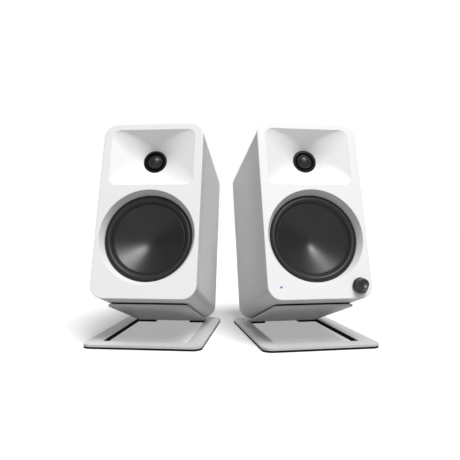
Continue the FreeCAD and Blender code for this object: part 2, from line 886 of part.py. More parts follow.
def make_terminals(side):
    """Two binding posts with plug sockets, and their screw-down caps."""
    frame = f"{side}_speaker"
    back = "speaker_depth"
    posts = []
    for index, across in enumerate(("-post_across", "post_across")):
        post = doc.addObject("PartDesign::Body", f"{side}_post_{index}")
        revolve(
            post,
            [
                (f"{back} - 20", "0"),
                (f"{back} - 20", "post_outer"),
                (back, "post_outer"),
                (back, "5.6"),
                (f"{back} + 1.6", "5.6"),
                (f"{back} + 1.6", "post_outer"),
                (f"{back} + 15", "post_outer"),
                (f"{back} + 15", "post_bore"),
                (f"{back} + 2", "post_bore"),
                (f"{back} + 2", "0"),
            ],
            across=across,
            up="post_height",
        )
        posts.append(post)
    group_parts(f"{side}_terminal_posts", frame, posts)
    for colour, across in (("red", "-post_across"), ("black", "post_across")):
        turned_part(
            f"{side}_{colour}_post_cap",
            frame,
            [
                (f"{back} + 2.2", "post_outer + 0.3"),
                (f"{back} + 2.2", "5.2"),
                (f"{back} + 13.5", "5.2"),
                (f"{back} + 14.5", "4.4"),
                (f"{back} + 14.5", "post_outer + 0.3"),
            ],
            across=across,
            up="post_height",
        )


# ---------------------------------------------------------------- electronics


def make_crossover():
    """The passive speaker's filter board, behind the terminals."""
    body = box_part(
        "left_crossover_board", "left_speaker", "0", "speaker_depth - 19", "20", "60", "1.6", "74", "2"
    )
    posts = front_sketch(body, "speaker_depth - 21")
    for across in ("-post_across", "post_across"):
        draw_circle(posts, across, "post_height", "post_outer + 0.3")
    pocket(body, posts, "6")
    box_part(
        "left_crossover_coil", "left_speaker", "0", "speaker_depth - 31", "62", "26", "12", "26", "12"
    )


def make_amplifier():
    body = box_part(
        "right_amplifier_board",
        "right_speaker",
        "0",
        "speaker_depth - 17.6",
        "22",
        "66",
        "1.6",
        "90",
        "2",
    )
    posts = front_sketch(body, "speaker_depth - 20")
    for across in ("-post_across", "post_across"):
        draw_circle(posts, across, "post_height", "post_outer + 0.3")
    pocket(body, posts, "6")
    sink = box_part(
        "right_heat_sink", "right_speaker", "0", "speaker_depth - 33.6", "70", "44", "16", "36", "1"
    )
    slots = front_sketch(sink, "speaker_depth - 34.6")
    for index in range(7):
        left = f"{index * 6 - 19.5}"
        right = f"{index * 6 - 16.5}"
        draw_outline(slots, [(left, "65"), (right, "65"), (right, "110"), (left, "110")])
    pocket(sink, slots, "13")


def make_sockets():
    """Phono sockets, power inlet and data socket on the active speaker's rear panel."""
    frame = "right_speaker"
    back = "speaker_depth"
    shells = []
    for index, across in enumerate(("-phono_across", "phono_across")):
        shell = doc.addObject("PartDesign::Body", f"phono_{index}")
        revolve(
            shell,
            [
                (f"{back} - 12", "0"),
                (f"{back} - 12", "phono_outer - 0.4"),
                (back, "phono_outer - 0.4"),
                (back, "phono_outer"),
                (f"{back} + 8", "phono_outer"),
                (f"{back} + 8", "1.7"),
                (f"{back} - 3", "1.7"),
                (f"{back} - 3", "0"),
            ],
            across=across,
            up="phono_height",
        )
        shells.append(shell)
    group_parts("right_phono_sockets", frame, shells)
    turned_part(
        "right_power_inlet",
        frame,
        [
            (f"{back} - 12", "0"),
            (f"{back} - 12", "inlet_bore + 2"),
            (f"{back} + 1", "inlet_bore + 2"),
            (f"{back} + 1", "inlet_bore"),
            (f"{back} - 9", "inlet_bore"),
            (f"{back} - 9", "1"),
            (f"{back} - 1", "1"),
            (f"{back} - 1", "0"),
        ],
        across="inlet_across",
        up="inlet_height",
    )
    data = box_part(
        "right_data_socket", frame, "data_across", f"{back} - 10", "data_height - 1.7", "9.2", "10.2",
        "3.4", "1.2",
    )
    mouth = front_sketch(data, f"{back} - 7")
    draw_rounded_rectangle(
        mouth,
        "data_across - 4.2",
        "data_across + 4.2",
        "data_height - 1.3",
        "data_height + 1.3",
        "1.2",
    )
    pocket(data, mouth, "8")


def make_controls():
    """Volume knob on a push encoder, and the status light."""
    frame = "right_speaker"
    turned_part(
        "right_volume_knob",
        frame,
        [
            ("-knob_gap", "shaft_radius"),
            ("-knob_gap", "knob_base - 0.6"),
            ("-knob_gap - 0.6", "knob_base"),
            ("-knob_gap - 3.5", "knob_base"),
            ("-knob_gap - knob_length + 0.8", "knob_end"),
            ("-knob_gap - knob_length", "knob_end - 0.8"),
            ("-knob_gap - knob_length", "0"),
            ("-knob_gap - knob_length + 3", "0"),
            ("-knob_gap - knob_length + 3", "shaft_radius"),
        ],
        across="knob_across",
        up="knob_height",
    )
    turned_part(
        "right_knob_shaft",
        frame,
        [
            ("-knob_gap - knob_length + 3", "0"),
            ("-knob_gap - knob_length + 3", "shaft_radius"),
            ("21", "shaft_radius"),
            ("21", "0"),
        ],
        across="knob_across",
        up="knob_height",
    )
    turned_part(
        "right_knob_plunger",
        frame,
        [("21.3", "0"), ("21.3", "2.6"), ("24.5", "2.6"), ("24.5", "0")],
        across="knob_across",
        up="knob_height",
    )
    encoder = box_part(
        "right_knob_encoder", frame, "knob_across", "baffle_slab + 0.1", "knob_height - 5.5", "11",
        "8.5", "11", "1",
    )
    revolve(
        encoder,
        [
            ("12", "0"),
            ("12", "shaft_radius + 0.7"),
            ("baffle_slab + 1", "shaft_radius + 0.7"),
            ("baffle_slab + 1", "0"),
        ],
        across="knob_across",
        up="knob_height",
    )
    revolve(
        encoder,
        [
            ("11", "0"),
            ("11", "shaft_radius + 0.3"),
            ("26", "shaft_radius + 0.3"),
            ("26", "0"),
        ],
        across="knob_across",
        up="knob_height",
        cut=True,
    )
    turned_part(
        "right_status_light",
        frame,
        [("0.05", "0"), ("0.05", "light_radius"), ("20", "light_radius"), ("20", "0")],
        across="-knob_across",
        up="knob_height",
    )


# ---------------------------------------------------------------- assembly


def make_everything():
    make_frames()
    for side in SPEAKER_SIDES:
        make_stand_sheet(side)
        make_base_pad(side)
        make_plate_pad(side)
        make_front_baffle(side)
        make_cabinet(side)
        make_rear_panel(side)
        make_bass_port(side)
        make_fasteners(side)
        make_wadding(side)
        make_basket(side)
        make_surround(side)
        make_cone(side)
        make_voice_coil(side)
        make_spider(side)
        make_woofer_motor(side)
        make_tweeter(side)
        make_terminals(side)
    make_crossover()
    make_amplifier()
    make_sockets()
    make_controls()
    doc.recompute()


def centre_pair():
    """Moves the pair so that the origin is under the middle of its box."""
    box = FreeCAD.BoundBox()
    for part in parts:
        box.add(part.Shape.optimalBoundingBox(False))
    for alias, shift in (("centre_across", -box.Center.x), ("centre_back", -box.Center.y)):
        dims.set(alias, str(round(shift, 3)))
    doc.recompute()
    return box


def check_document():
    for item in doc.Objects:
        if "Invalid" in item.State or "Error" in item.State:
            raise RuntimeError(f"{item.Label} is {item.State}")
    for part in parts:
        if part.Shape.isNull() or not part.Shape.isValid():
            raise RuntimeError(f"{part.Label} has no valid shape")


def export_parts():
    os.makedirs("parts", exist_ok=True)
    for part in parts:
        part.Shape.exportStep(f"parts/{part.Label}.step")


make_everything()
size = centre_pair()
check_document()
export_parts()
print(f"{len(parts)} parts, {size.XLength:.1f} x {size.YLength:.1f} x {size.ZLength:.1f} mm")
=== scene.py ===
"""The looks of a pair of desktop speakers on tilted steel stands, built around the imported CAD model.

Pieces are drawn in millimetres in a part's own frame (x across, y into the object, z up) and are then
carried into the row frame.  Each speaker and each stand has such a frame, read from the CAD model.
A turned piece is a list of (depth, radius) points, swept round an axis that runs front to back.
"""

import json
from math import asin, atan2, cos, hypot, pi, radians, sin, sqrt, tan

import bmesh
import bpy
from mathutils import Matrix, Vector


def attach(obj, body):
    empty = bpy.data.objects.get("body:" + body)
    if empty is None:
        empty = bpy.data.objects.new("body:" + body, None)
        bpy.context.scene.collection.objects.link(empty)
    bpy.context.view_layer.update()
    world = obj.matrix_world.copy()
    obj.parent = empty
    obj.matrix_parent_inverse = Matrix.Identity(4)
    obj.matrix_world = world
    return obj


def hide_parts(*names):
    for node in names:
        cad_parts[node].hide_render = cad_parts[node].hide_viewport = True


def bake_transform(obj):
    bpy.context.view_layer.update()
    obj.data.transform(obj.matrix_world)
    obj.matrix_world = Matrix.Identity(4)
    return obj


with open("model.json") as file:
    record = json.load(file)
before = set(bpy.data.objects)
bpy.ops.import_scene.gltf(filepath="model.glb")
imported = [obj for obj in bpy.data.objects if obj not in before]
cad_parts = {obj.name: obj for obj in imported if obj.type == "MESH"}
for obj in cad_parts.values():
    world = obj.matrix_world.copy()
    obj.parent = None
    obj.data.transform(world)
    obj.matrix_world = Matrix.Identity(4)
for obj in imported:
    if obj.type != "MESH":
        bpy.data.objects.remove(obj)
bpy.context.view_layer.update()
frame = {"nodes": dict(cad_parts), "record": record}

MM = 0.001
JOINTS = {joint["name"]: joint for joint in frame["record"]["behaviour"]["joints"]}


# ---------- frames


class Place:
    """A part's own frame, whose origin is the middle of a CAD node's front bottom edge."""

    def __init__(self, across, back, up, node):
        self.axes = Matrix((across, back, up))
        self.origin = Vector((0, 0, 0))
        low, high = self.box(node)
        corner = Vector(((low.x + high.x) / 2, low.y, low.z))
        self.origin = self.axes.transposed() @ corner * MM
        turn = self.axes.transposed().to_4x4()
        self.matrix = Matrix.Translation(self.origin) @ turn @ Matrix.Scale(MM, 4)

    def box(self, node):
        """The node's lowest and highest corners along this frame's axes, in mm."""
        vertices = frame["nodes"][node].data.vertices
        spots = [self.axes @ (vertex.co - self.origin) / MM for vertex in vertices]
        low = Vector([min(spot[i] for spot in spots) for i in range(3)])
        high = Vector([max(spot[i] for spot in spots) for i in range(3)])
        return low, high


# ---------- outlines


def soften(corners, closed=True, steps=5):
    """Rounds an outline's corners with arcs; each corner is (a, b, radius)."""
    spots = []
    count = len(corners)
    for index, (a, b, radius) in enumerate(corners):
        here = Vector((a, b))
        if radius <= 0 or (not closed and index in (0, count - 1)):
            spots.append((a, b))
            continue
        before = Vector(corners[index - 1][:2]) - here
        after = Vector(corners[(index + 1) % count][:2]) - here
        half = before.angle(after) / 2
        reach = min(radius / tan(half), before.length * 0.49, after.length * 0.49)
        bend = reach * tan(half)
        toward = (before.normalized() + after.normalized()).normalized()
        centre = here + toward * hypot(reach, bend)
        first = here + before.normalized() * reach - centre
        last = here + after.normalized() * reach - centre
        start = atan2(first.y, first.x)
        sweep = (atan2(last.y, last.x) - start + pi) % (2 * pi) - pi
        for step in range(steps + 1):
            angle = start + sweep * step / steps
            spots.append((centre.x + bend * cos(angle), centre.y + bend * sin(angle)))
    return spots


def mirrored(corners):
    """The other half of an outline with two equal sides."""
    return [(-across, back, radius) for across, back, radius in reversed(corners)]


def bezier(first, pull, last, steps=10):
    """Points of a curve from first to last, drawn towards pull."""
    spots = []
    for step in range(steps + 1):
        t = step / steps
        weights = ((1 - t) ** 2, 2 * t * (1 - t), t * t)
        lines = zip(first, pull, last)
        spots.append(tuple(sum(w * at for w, at in zip(weights, line)) for line in lines))
    return spots


def rectangle(left, right, bottom, top, radius, steps=10, sides=1):
    """Points of a rounded rectangle, anticlockwise from the start of its top right corner."""
    centres = [
        (right - radius, top - radius), (left + radius, top - radius), (left + radius, bottom + radius),
        (right - radius, bottom + radius),
    ]
    spots = []
    for quarter, (across, up) in enumerate(centres):
        for step in range(steps + 1):
            angle = pi / 2 * (quarter + step / steps)
            spots.append((across + radius * cos(angle), up + radius * sin(angle)))
        angle = pi / 2 * (quarter + 1)
        next_across, next_up = centres[(quarter + 1) % 4]
        start = Vector(spots[-1])
        end = Vector((next_across + radius * cos(angle), next_up + radius * sin(angle)))
        for step in range(1, sides):
            spots.append(tuple(start.lerp(end, step / sides)))
    return spots


def circle(across, up, radius, steps=72):
    angles = [2 * pi * step / steps for step in range(steps)]
    return [(across + radius * cos(angle), up + radius * sin(angle)) for angle in angles]


def rectangle_at(across, up, half_across, half_up, radius, steps=10):
    """A rounded rectangle about a middle, as a function of how far it is drawn in."""

    def outline(inset):
        left, right = across - half_across + inset, across + half_across - inset
        return rectangle(left, right, up - half_up + inset, up + half_up - inset, radius - inset, steps)

    return outline


def circle_at(across, up, radius, steps=48):
    """A circle, as a function of how far it is drawn in."""
    return lambda inset: circle(across, up, radius - inset, steps)


def round_over(depth, radius, steps):
    """(inset, depth) spots of a rounded edge, from a flat face at depth to the wall."""
    angles = [pi / 2 * step / steps for step in range(steps + 1)]
    return [(radius * (1 - sin(a)), depth + radius * (1 - cos(a))) for a in angles]


# ---------- meshes


class Mesh:
    """A mesh in the making, in a part's own frame, in millimetres."""

    def __init__(self):
        self.bm = bmesh.new()
        self.slot = 0

    def ring(self, spots):
        return [self.bm.verts.new(spot) for spot in spots]

    def flat_ring(self, outline, depth):
        return self.ring([(across, depth, up) for across, up in outline])

    def level_ring(self, outline, up):
        return self.ring([(across, back, up) for across, back in outline])

    def face(self, verts):
        self.bm.faces.new(verts).material_index = self.slot

    def bridge(self, first, second):
        """Faces between two rings, where either may be a single point."""
        count = max(len(first), len(second))
        if count == 1:
            return
        for i in range(count):
            j = (i + 1) % count
            if len(first) == 1:
                self.face((first[0], second[j], second[i]))
            elif len(second) == 1:
                self.face((first[i], first[j], second[0]))
            else:
                self.face((first[i], first[j], second[j], second[i]))

    def loft(self, rings, closed=False):
        for first, second in zip(rings, rings[1:]):
            self.bridge(first, second)
        if closed:
            self.bridge(rings[-1], rings[0])

    def turn(self, profile, across=0.0, up=0.0, steps=96, closed=False, ripple=None):
        """Turns (depth, radius) spots about an axis; ripple(depth, radius, angle) changes the radius."""
        rings = []
        angles = [2 * pi * step / steps for step in range(steps)]
        for depth, radius in profile:
            spots = [(across, depth, up)]
            if radius > 1e-6:
                turns = [(a, ripple(depth, radius, a) if ripple else radius) for a in angles]
                spots = [(across + r * cos(a), depth, up + r * sin(a)) for a, r in turns]
            rings.append(self.ring(spots))
        self.loft(rings, closed)
        return rings

    def fill(self, *rings):
        """A flat face between an outline and the holes in it."""
        edges = []
        for ring in rings:
            for i, vert in enumerate(ring):
                after = ring[(i + 1) % len(ring)]
                edges.append(self.bm.edges.get((vert, after)) or self.bm.edges.new((vert, after)))
        made = bmesh.ops.triangle_fill(self.bm, use_beauty=True, edges=edges)
        for item in made["geom"]:
            if isinstance(item, bmesh.types.BMFace):
                item.material_index = self.slot

    def plate(self, outline, depth, thick, edge, holes=(), steps=3):
        """A plate seen from the front, with rounded edges; outline(inset) gives its points.

        Each hole is an outline function too, where a negative inset makes the hole larger.
        """
        fronts = []
        backs = []
        for shape, sign in [(outline, 1)] + [(hole, -1) for hole in holes]:
            path = round_over(depth, edge, steps)
            path += [(inset, 2 * depth + thick - d) for inset, d in reversed(path)]
            rings = [self.flat_ring(shape(sign * inset), d) for inset, d in path]
            self.loft(rings)
            fronts.append(rings[0])
            backs.append(rings[-1])
        self.fill(*fronts)
        self.fill(*backs)


def make_piece(name, mesh, place, materials, sharp=38):
    """Turns a finished mesh into an object; edges beyond the angle `sharp` stay crisp."""
    bm = mesh.bm
    bmesh.ops.remove_doubles(bm, verts=bm.verts, dist=1e-4)
    bmesh.ops.recalc_face_normals(bm, faces=bm.faces)
    own = bm.verts.layers.float_vector.new("own")  # a vertex's place in the part's own frame, in mm
    for vert in bm.verts:
        vert[own] = vert.co
    bm.transform(place.matrix)
    piece = add_mesh(name, bm)
    finish_mesh(piece, sharp)
    for material in materials.split():
        piece.data.materials.append(MATERIALS[material])
    return piece


def add_object(name, data):
    made = bpy.data.objects.new(name, data)
    bpy.context.scene.collection.objects.link(made)
    return made


def add_mesh(name, bm):
    data = bpy.data.meshes.new(name)
    bm.to_mesh(data)
    bm.free()
    return add_object(name, data)


def finish_mesh(piece, sharp):
    """Smooth shading that keeps the sharp edges and the flat faces flat."""
    piece.data.shade_smooth()
    piece.data.set_sharp_from_angle(angle=radians(sharp))
    piece.modifiers.new("weighted_normals", "WEIGHTED_NORMAL").keep_sharp = True


# ---------- materials


class Nodes:
    """Wires a material's nodes."""

    def __init__(self, name):
        self.material = bpy.data.materials.new(name)
        self.material.use_nodes = True
        self.tree = self.material.node_tree
        self.shader = self.tree.nodes["Principled BSDF"]

    def add(self, kind, settings=None, **inputs):
        node = self.tree.nodes.new(kind)
        for key, value in (settings or {}).items():
            setattr(node, key, value)
        for key, value in inputs.items():
            self.feed(node.inputs[key.replace("_", " ")], value)
        return node

    def feed(self, socket, value):
        if isinstance(value, bpy.types.NodeSocket):
            self.tree.links.new(value, socket)
        else:
            socket.default_value = value

    def math(self, operation, *values):
        node = self.add("ShaderNodeMath", {"operation": operation})
        for socket, value in zip(node.inputs, values):
            self.feed(socket, value)
        return node.outputs[0]

    def spread(self, value, low, high, to_low=0.0, to_high=1.0):
        node = self.add("ShaderNodeMapRange", {"clamp": True})
        for socket, amount in zip(node.inputs, (value, low, high, to_low, to_high)):
            self.feed(socket, amount)
        return node.outputs[0]

    def blend(self, share, first, second):
        node = self.add("ShaderNodeMix", {"data_type": "RGBA"})
        self.feed(node.inputs["Factor"], share)
        self.feed(node.inputs["A"], first)
        self.feed(node.inputs["B"], second)
        return node.outputs["Result"]

    def between(self, noise, low, high):
        """Noise stretched to run from low to high."""
        return self.spread(noise, 0.3, 0.7, low, high)

    def mottled(self, noise, colour, mottle):
        """The colour, darker or lighter by a share where the noise is low or high."""
        return self.blend(self.between(noise, 0.0, 1.0), tint(colour, 1 - mottle), tint(colour, 1 + mottle))

    def noise(self, where, size, detail=3.0, rough=0.5):
        """Noise whose grains are about size mm."""
        scale = 1.0 / size
        node = self.add("ShaderNodeTexNoise", Vector=where, Scale=scale, Detail=detail, Roughness=rough)
        return node.outputs["Fac"]

    def place(self):
        """The object's coordinates, in mm."""
        spot = self.add("ShaderNodeTexCoord").outputs["Object"]
        node = self.add("ShaderNodeVectorMath", {"operation": "SCALE"}, Vector=spot, Scale=1000.0)
        return node.outputs["Vector"]

    def bump(self, *layers):
        """Stacks (height, strength, distance in mm) layers into the shader's normal."""
        normal = None
        for height, strength, distance in layers:
            node = self.add("ShaderNodeBump", Height=height, Strength=strength, Distance=distance * MM)
            if normal:
                self.feed(node.inputs["Normal"], normal)
            normal = node.outputs["Normal"]
        self.feed(self.shader.inputs["Normal"], normal)

    def set(self, **inputs):
        for key, value in inputs.items():
            self.feed(self.shader.inputs[key.replace("_", " ")], value)
        return self.material


def grey(level):
    return (level, level, level, 1.0)


def tint(colour, share):
    return tuple(min(1.0, c * share) for c in colour[:3]) + (1.0,)


def surface(
    name, colour, rough, grain, grain_height, mottle,
    worn=0.0, metallic=0.0, specular=0.5, coat=0.0, ripple=0.0, rough_spread=0.05,
):
    """A painted, moulded or plated surface: fine grain, slow mottling, uneven gloss and worn edges.

    Lengths are in mm.  worn brightens the edges, and ripple is a slow waviness like orange peel.
    """
    n = Nodes(name)
    where = n.place()
    slow = n.noise(where, 24.0, 2.0)
    fine = n.noise(where, grain, 4.0, 0.6)
    shade = n.mottled(slow, colour, mottle)
    shade = n.blend(n.spread(fine, 0.35, 0.65, 0.0, 0.35), shade, tint(colour, 1 - 1.6 * mottle))
    if worn:
        edge = n.add("ShaderNodeNewGeometry").outputs["Pointiness"]
        patch = n.math("MULTIPLY", n.spread(edge, 0.52, 0.62), n.spread(slow, 0.4, 0.6, 0.3, 1.0))
        shade = n.blend(n.math("MULTIPLY", patch, worn), shade, tint(colour, 2.2))
    gloss = n.between(n.noise(where, 6.0, 5.0, 0.65), rough - rough_spread, rough + rough_spread)
    layers = [(fine, 0.35, grain_height)]
    if ripple:
        layers.append((n.noise(where, 2.4, 1.0), 0.25, ripple))
    n.bump(*layers)
    n.set(Base_Color=shade, Roughness=gloss, Metallic=metallic, Specular_IOR_Level=specular)
    return n.set(Coat_Weight=coat, Coat_Roughness=0.25)


def turned_surface(name, colour, rough, pitch, height, specular=0.5, up=0.0):
    """A turned or pressed surface with fine rings round an axis at height `up`."""
    n = Nodes(name)
    where = n.add("ShaderNodeAttribute", {"attribute_name": "own"}).outputs["Vector"]
    parts = n.add("ShaderNodeSeparateXYZ", Vector=where)
    rise = n.math("SUBTRACT", parts.outputs["Z"], up)
    square = n.math("ADD", n.math("POWER", parts.outputs["X"], 2.0), n.math("POWER", rise, 2.0))
    radius = n.math("SQRT", square)
    wobble = n.math("MULTIPLY", n.noise(where, 3.0, 3.0), pitch * 0.6)
    rings = n.math("SINE", n.math("MULTIPLY", n.math("ADD", radius, wobble), 2 * pi / pitch))
    fine = n.noise(where, 0.3, 4.0, 0.6)
    shade = n.mottled(n.noise(where, 14.0, 2.0), colour, 0.05)
    shade = n.blend(n.spread(rings, -1.0, 1.0, 0.0, 0.12), shade, tint(colour, 1.3))
    n.bump((rings, 0.3, height), (fine, 0.25, 0.01))
    gloss = n.between(fine, rough - 0.03, rough + 0.03)
    return n.set(Base_Color=shade, Roughness=gloss, Specular_IOR_Level=specular)


def foam():
    """Cut closed-cell foam: pinholes and a soft, matte black."""
    n = Nodes("closed_cell_foam")
    where = n.place()
    cells = n.add("ShaderNodeTexVoronoi", Vector=where, Scale=2.6).outputs["Distance"]
    fine = n.noise(where, 0.25, 4.0, 0.7)
    shade = n.blend(n.spread(cells, 0.0, 0.5), grey(0.003), grey(0.010))
    n.bump((cells, 0.7, 0.12), (fine, 0.5, 0.05))
    return n.set(Base_Color=shade, Roughness=n.between(fine, 0.82, 0.97), Specular_IOR_Level=0.12)


def fibre(name, colour, size, height, weave=False):
    """Loose fibre, or a woven cloth."""
    n = Nodes(name)
    where = n.place()
    fine = n.noise(where, size, 6.0, 0.75)
    layers = [(fine, 0.9, height)]
    if weave:
        parts = n.add("ShaderNodeSeparateXYZ", Vector=where)
        waves = [
            n.math("SINE", n.math("MULTIPLY", parts.outputs[axis], 2 * pi / size)) for axis in "XZ"
        ]
        threads = n.math("MULTIPLY", *waves)
        layers.append((threads, 0.6, height))
        fine = n.spread(threads, -1.0, 1.0, 0.25, 0.75)
    shade = n.blend(n.spread(fine, 0.25, 0.75), tint(colour, 0.7), tint(colour, 1.1))
    n.bump(*layers)
    return n.set(Base_Color=shade, Roughness=n.between(fine, 0.8, 0.95), Sheen_Weight=0.3)


def circuit_board():
    """Solder mask with copper tracks showing through."""
    n = Nodes("solder_mask")
    where = n.place()
    white, black = grey(1.0), grey(0.0)
    tracks = n.add(
        "ShaderNodeTexBrick", {"offset": 0.5}, Vector=where, Scale=0.11, Color1=white, Color2=white,
        Mortar=black, Mortar_Size=0.03,
    )
    fine = n.noise(where, 1.2, 3.0)
    shade = n.blend(tracks.outputs["Fac"], (0.010, 0.085, 0.035, 1), (0.025, 0.17, 0.07, 1))
    shade = n.blend(n.between(fine, 0.0, 0.3), shade, (0.006, 0.06, 0.025, 1))
    n.bump((tracks.outputs["Fac"], 0.5, 0.04), (fine, 0.1, 0.02))
    return n.set(Base_Color=shade, Roughness=n.between(fine, 0.3, 0.42), Coat_Weight=0.3)


def winding():
    """Enamelled copper wire in close turns."""
    n = Nodes("enamelled_copper")
    where = n.place()
    parts = n.add("ShaderNodeSeparateXYZ", Vector=where)
    turns = n.math("SINE", n.math("MULTIPLY", parts.outputs["Y"], 2 * pi / 0.35))
    fine = n.noise(where, 0.8)
    shade = n.blend(n.spread(turns, -1.0, 1.0), (0.30, 0.09, 0.03, 1), (0.85, 0.36, 0.17, 1))
    n.bump((turns, 0.7, 0.08), (fine, 0.2, 0.02))
    return n.set(Base_Color=shade, Metallic=0.85, Roughness=n.between(fine, 0.22, 0.36))


def light_lens():
    """A small blue light behind a frosted lens."""
    n = Nodes("blue_light_lens")
    fine = n.noise(n.place(), 0.12)
    shade = n.blend(fine, (0.03, 0.04, 0.45, 1), (0.05, 0.07, 0.65, 1))
    n.bump((fine, 0.2, 0.02))
    n.feed(n.shader.inputs["Emission Color"], (0.06, 0.09, 1.0, 1))
    return n.set(Base_Color=shade, Roughness=n.between(fine, 0.2, 0.35), Emission_Strength=0.1)


MATERIALS = {
    "baffle": surface("white_baffle_paint", grey(0.76), 0.50, 0.4, 0.012, 0.008, ripple=0.01),
    "cabinet": surface("white_cabinet_laminate", grey(0.78), 0.55, 0.5, 0.015, 0.012, ripple=0.012),
    "steel_paint": surface(
        "stand_powder_coat", grey(0.56), 0.42, 0.55, 0.012, 0.006, ripple=0.004, rough_spread=0.02
    ),
    "foam": foam(),
    "panel": surface("black_powder_coat", grey(0.022), 0.5, 0.5, 0.05, 0.12, worn=0.25, ripple=0.04),
    "moulded": surface("black_moulded_plastic", grey(0.022), 0.48, 0.45, 0.04, 0.12, worn=0.15),
    "gloss_black": surface(
        "black_gloss_plastic", grey(0.015), 0.22, 0.6, 0.01, 0.1, worn=0.1, coat=0.4
    ),
    "gloss_red": surface(
        "red_gloss_plastic", (0.48, 0.012, 0.012, 1), 0.24, 0.6, 0.01, 0.08, worn=0.08, coat=0.4
    ),
    "white_insert": surface("white_insert_plastic", grey(0.7), 0.35, 0.5, 0.01, 0.03),
    "gold": surface("gold_plate", (0.86, 0.60, 0.22, 1), 0.22, 0.3, 0.01, 0.04, metallic=1.0),
    "zinc": surface("zinc_plate", (0.60, 0.60, 0.58, 1), 0.34, 0.4, 0.02, 0.08, metallic=1.0),
    "black_zinc": surface("blackened_steel", grey(0.05), 0.36, 0.3, 0.02, 0.15, worn=0.5, metallic=0.8),
    "rubber": surface("surround_rubber", grey(0.014), 0.46, 0.3, 0.01, 0.1, specular=0.32),
    "dome": surface("coated_dome_cloth", grey(0.008), 0.41, 0.22, 0.010, 0.1, specular=0.38),
    "ferrite": surface("ground_ferrite", grey(0.045), 0.62, 0.5, 0.06, 0.15, worn=0.3),
    "knob": surface("soft_touch_knob", grey(0.014), 0.38, 0.35, 0.02, 0.1, worn=0.12),
    "heat_sink": surface("anodised_aluminium", grey(0.05), 0.4, 0.5, 0.03, 0.08, worn=0.4, metallic=0.9),
    "wadding": fibre("polyester_wadding", (0.80, 0.80, 0.77, 1), 1.6, 0.8),
    "spider": fibre("resin_treated_cloth", (0.42, 0.27, 0.10, 1), 0.9, 0.15, weave=True),
    "board": circuit_board(),
    "copper": winding(),
    "light": light_lens(),
}


# ---------- enclosure


PANEL_CORNER = 3.5  # mm, the rear panel's corners, small enough to clear its screw holes
BODY_CORNER = 13.5  # mm, the long edges of the baffle and the cabinet
POST_ACROSS = 9.5  # mm, from the middle to each binding post
PHONO_ACROSS = 10  # mm, from the middle to each phono socket


class Speaker:
    """A speaker's frame and the main sizes, all measured on the CAD nodes."""

    def __init__(self, side):
        self.side = side
        back = -Vector(JOINTS[f"{side}_cone_travel"]["axis"]).normalized()
        up = Vector((0, 0, 1))
        across = back.cross(up).normalized()
        self.place = Place(across, back, across.cross(back), f"{side}_front_baffle")
        self.stand = Place(across, up.cross(across), up, f"{side}_stand_sheet")
        low, high = self.box("front_baffle")
        self.width = high.x - low.x
        self.height = high.z - low.z
        self.baffle_back = high.y
        low, high = self.box("cabinet")
        self.cabinet_front = low.y
        self.back = high.y
        low, high = self.box("woofer_cone")
        self.woofer_up = (low.z + high.z) / 2
        self.cone_radius = (high.x - low.x) / 2
        self.cone_front = low.y
        self.cone_back = high.y
        self.tweeter_up = self.middle("tweeter_dome").z
        self.port_up = self.middle("bass_port").z
        low, high = self.panel_low, self.panel_high = self.box("rear_panel")
        inset = 2.85
        ups = (low.z + inset, high.z - inset)
        self.screw_spots = [(across, up) for across in (low.x + inset, high.x - inset) for up in ups]

    def box(self, node):
        return self.place.box(f"{self.side}_{node}")

    def middle(self, node):
        low, high = self.box(node)
        return (low + high) / 2

    def outline(self, inset, steps=14):
        half = self.width / 2 - inset
        return rectangle(-half, half, inset, self.height - inset, max(BODY_CORNER - inset, 0.4), steps)

    def shell(self, mesh, path):
        """The speaker's outline, drawn in and set back along (inset, depth) spots."""
        rings = [mesh.flat_ring(self.outline(inset), depth) for inset, depth in path]
        mesh.loft(rings)
        return rings

    def piece(self, name, mesh, materials, slot, body="speaker", replaces=None, sharp=38):
        """A piece that stands for the CAD node of its own name, unless replaces says otherwise."""
        piece = make_piece(f"{self.side}_{name}", mesh, self.place, materials, sharp)
        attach(piece, body if body == "knob" else f"{self.side}_{body}")
        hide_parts(f"{self.side}_{replaces or name}")


def funnel(mesh, speaker, slab):
    """The tweeter's waveguide, from a rounded mouth to the round throat; returns its two end rings."""
    half_across, half_up, corner = 41.4, 28.8, 7.6
    throat, throat_depth = 11.9, 13.1
    bulge, straight = 26.0, 0.8
    lip, lip_angle, lip_steps = 0.8, radians(50), 4
    lip_depth = lip * (1 - cos(lip_angle))
    rings = []
    for step in range(lip_steps):
        angle = lip_angle * step / lip_steps
        grow = lip * (sin(lip_angle) - sin(angle))
        rings.append((half_across + grow, half_up + grow, corner + grow, lip * (1 - cos(angle))))
    steps = 26
    for step in range(steps + 1):
        share = step / steps
        wide = half_across + (throat - half_across) * share
        high = half_up + (throat - half_up) * share
        round_off = corner + (throat - corner) * share + bulge * share * (1 - share)
        sink = straight * share + (1 - straight) * share**3
        depth = lip_depth + (throat_depth - lip_depth) * sink
        rings.append((wide, high, min(round_off, high - 0.01), depth))
    rings.append((throat, throat, throat - 0.01, slab))
    made = []
    for wide, high, round_off, depth in rings:
        outline = rectangle(-wide, wide, -high, high, round_off, 16, 12)
        made.append(mesh.ring([(x, depth, z + speaker.tweeter_up) for x, z in outline]))
    mesh.loft(made)
    return made[0], made[-1]


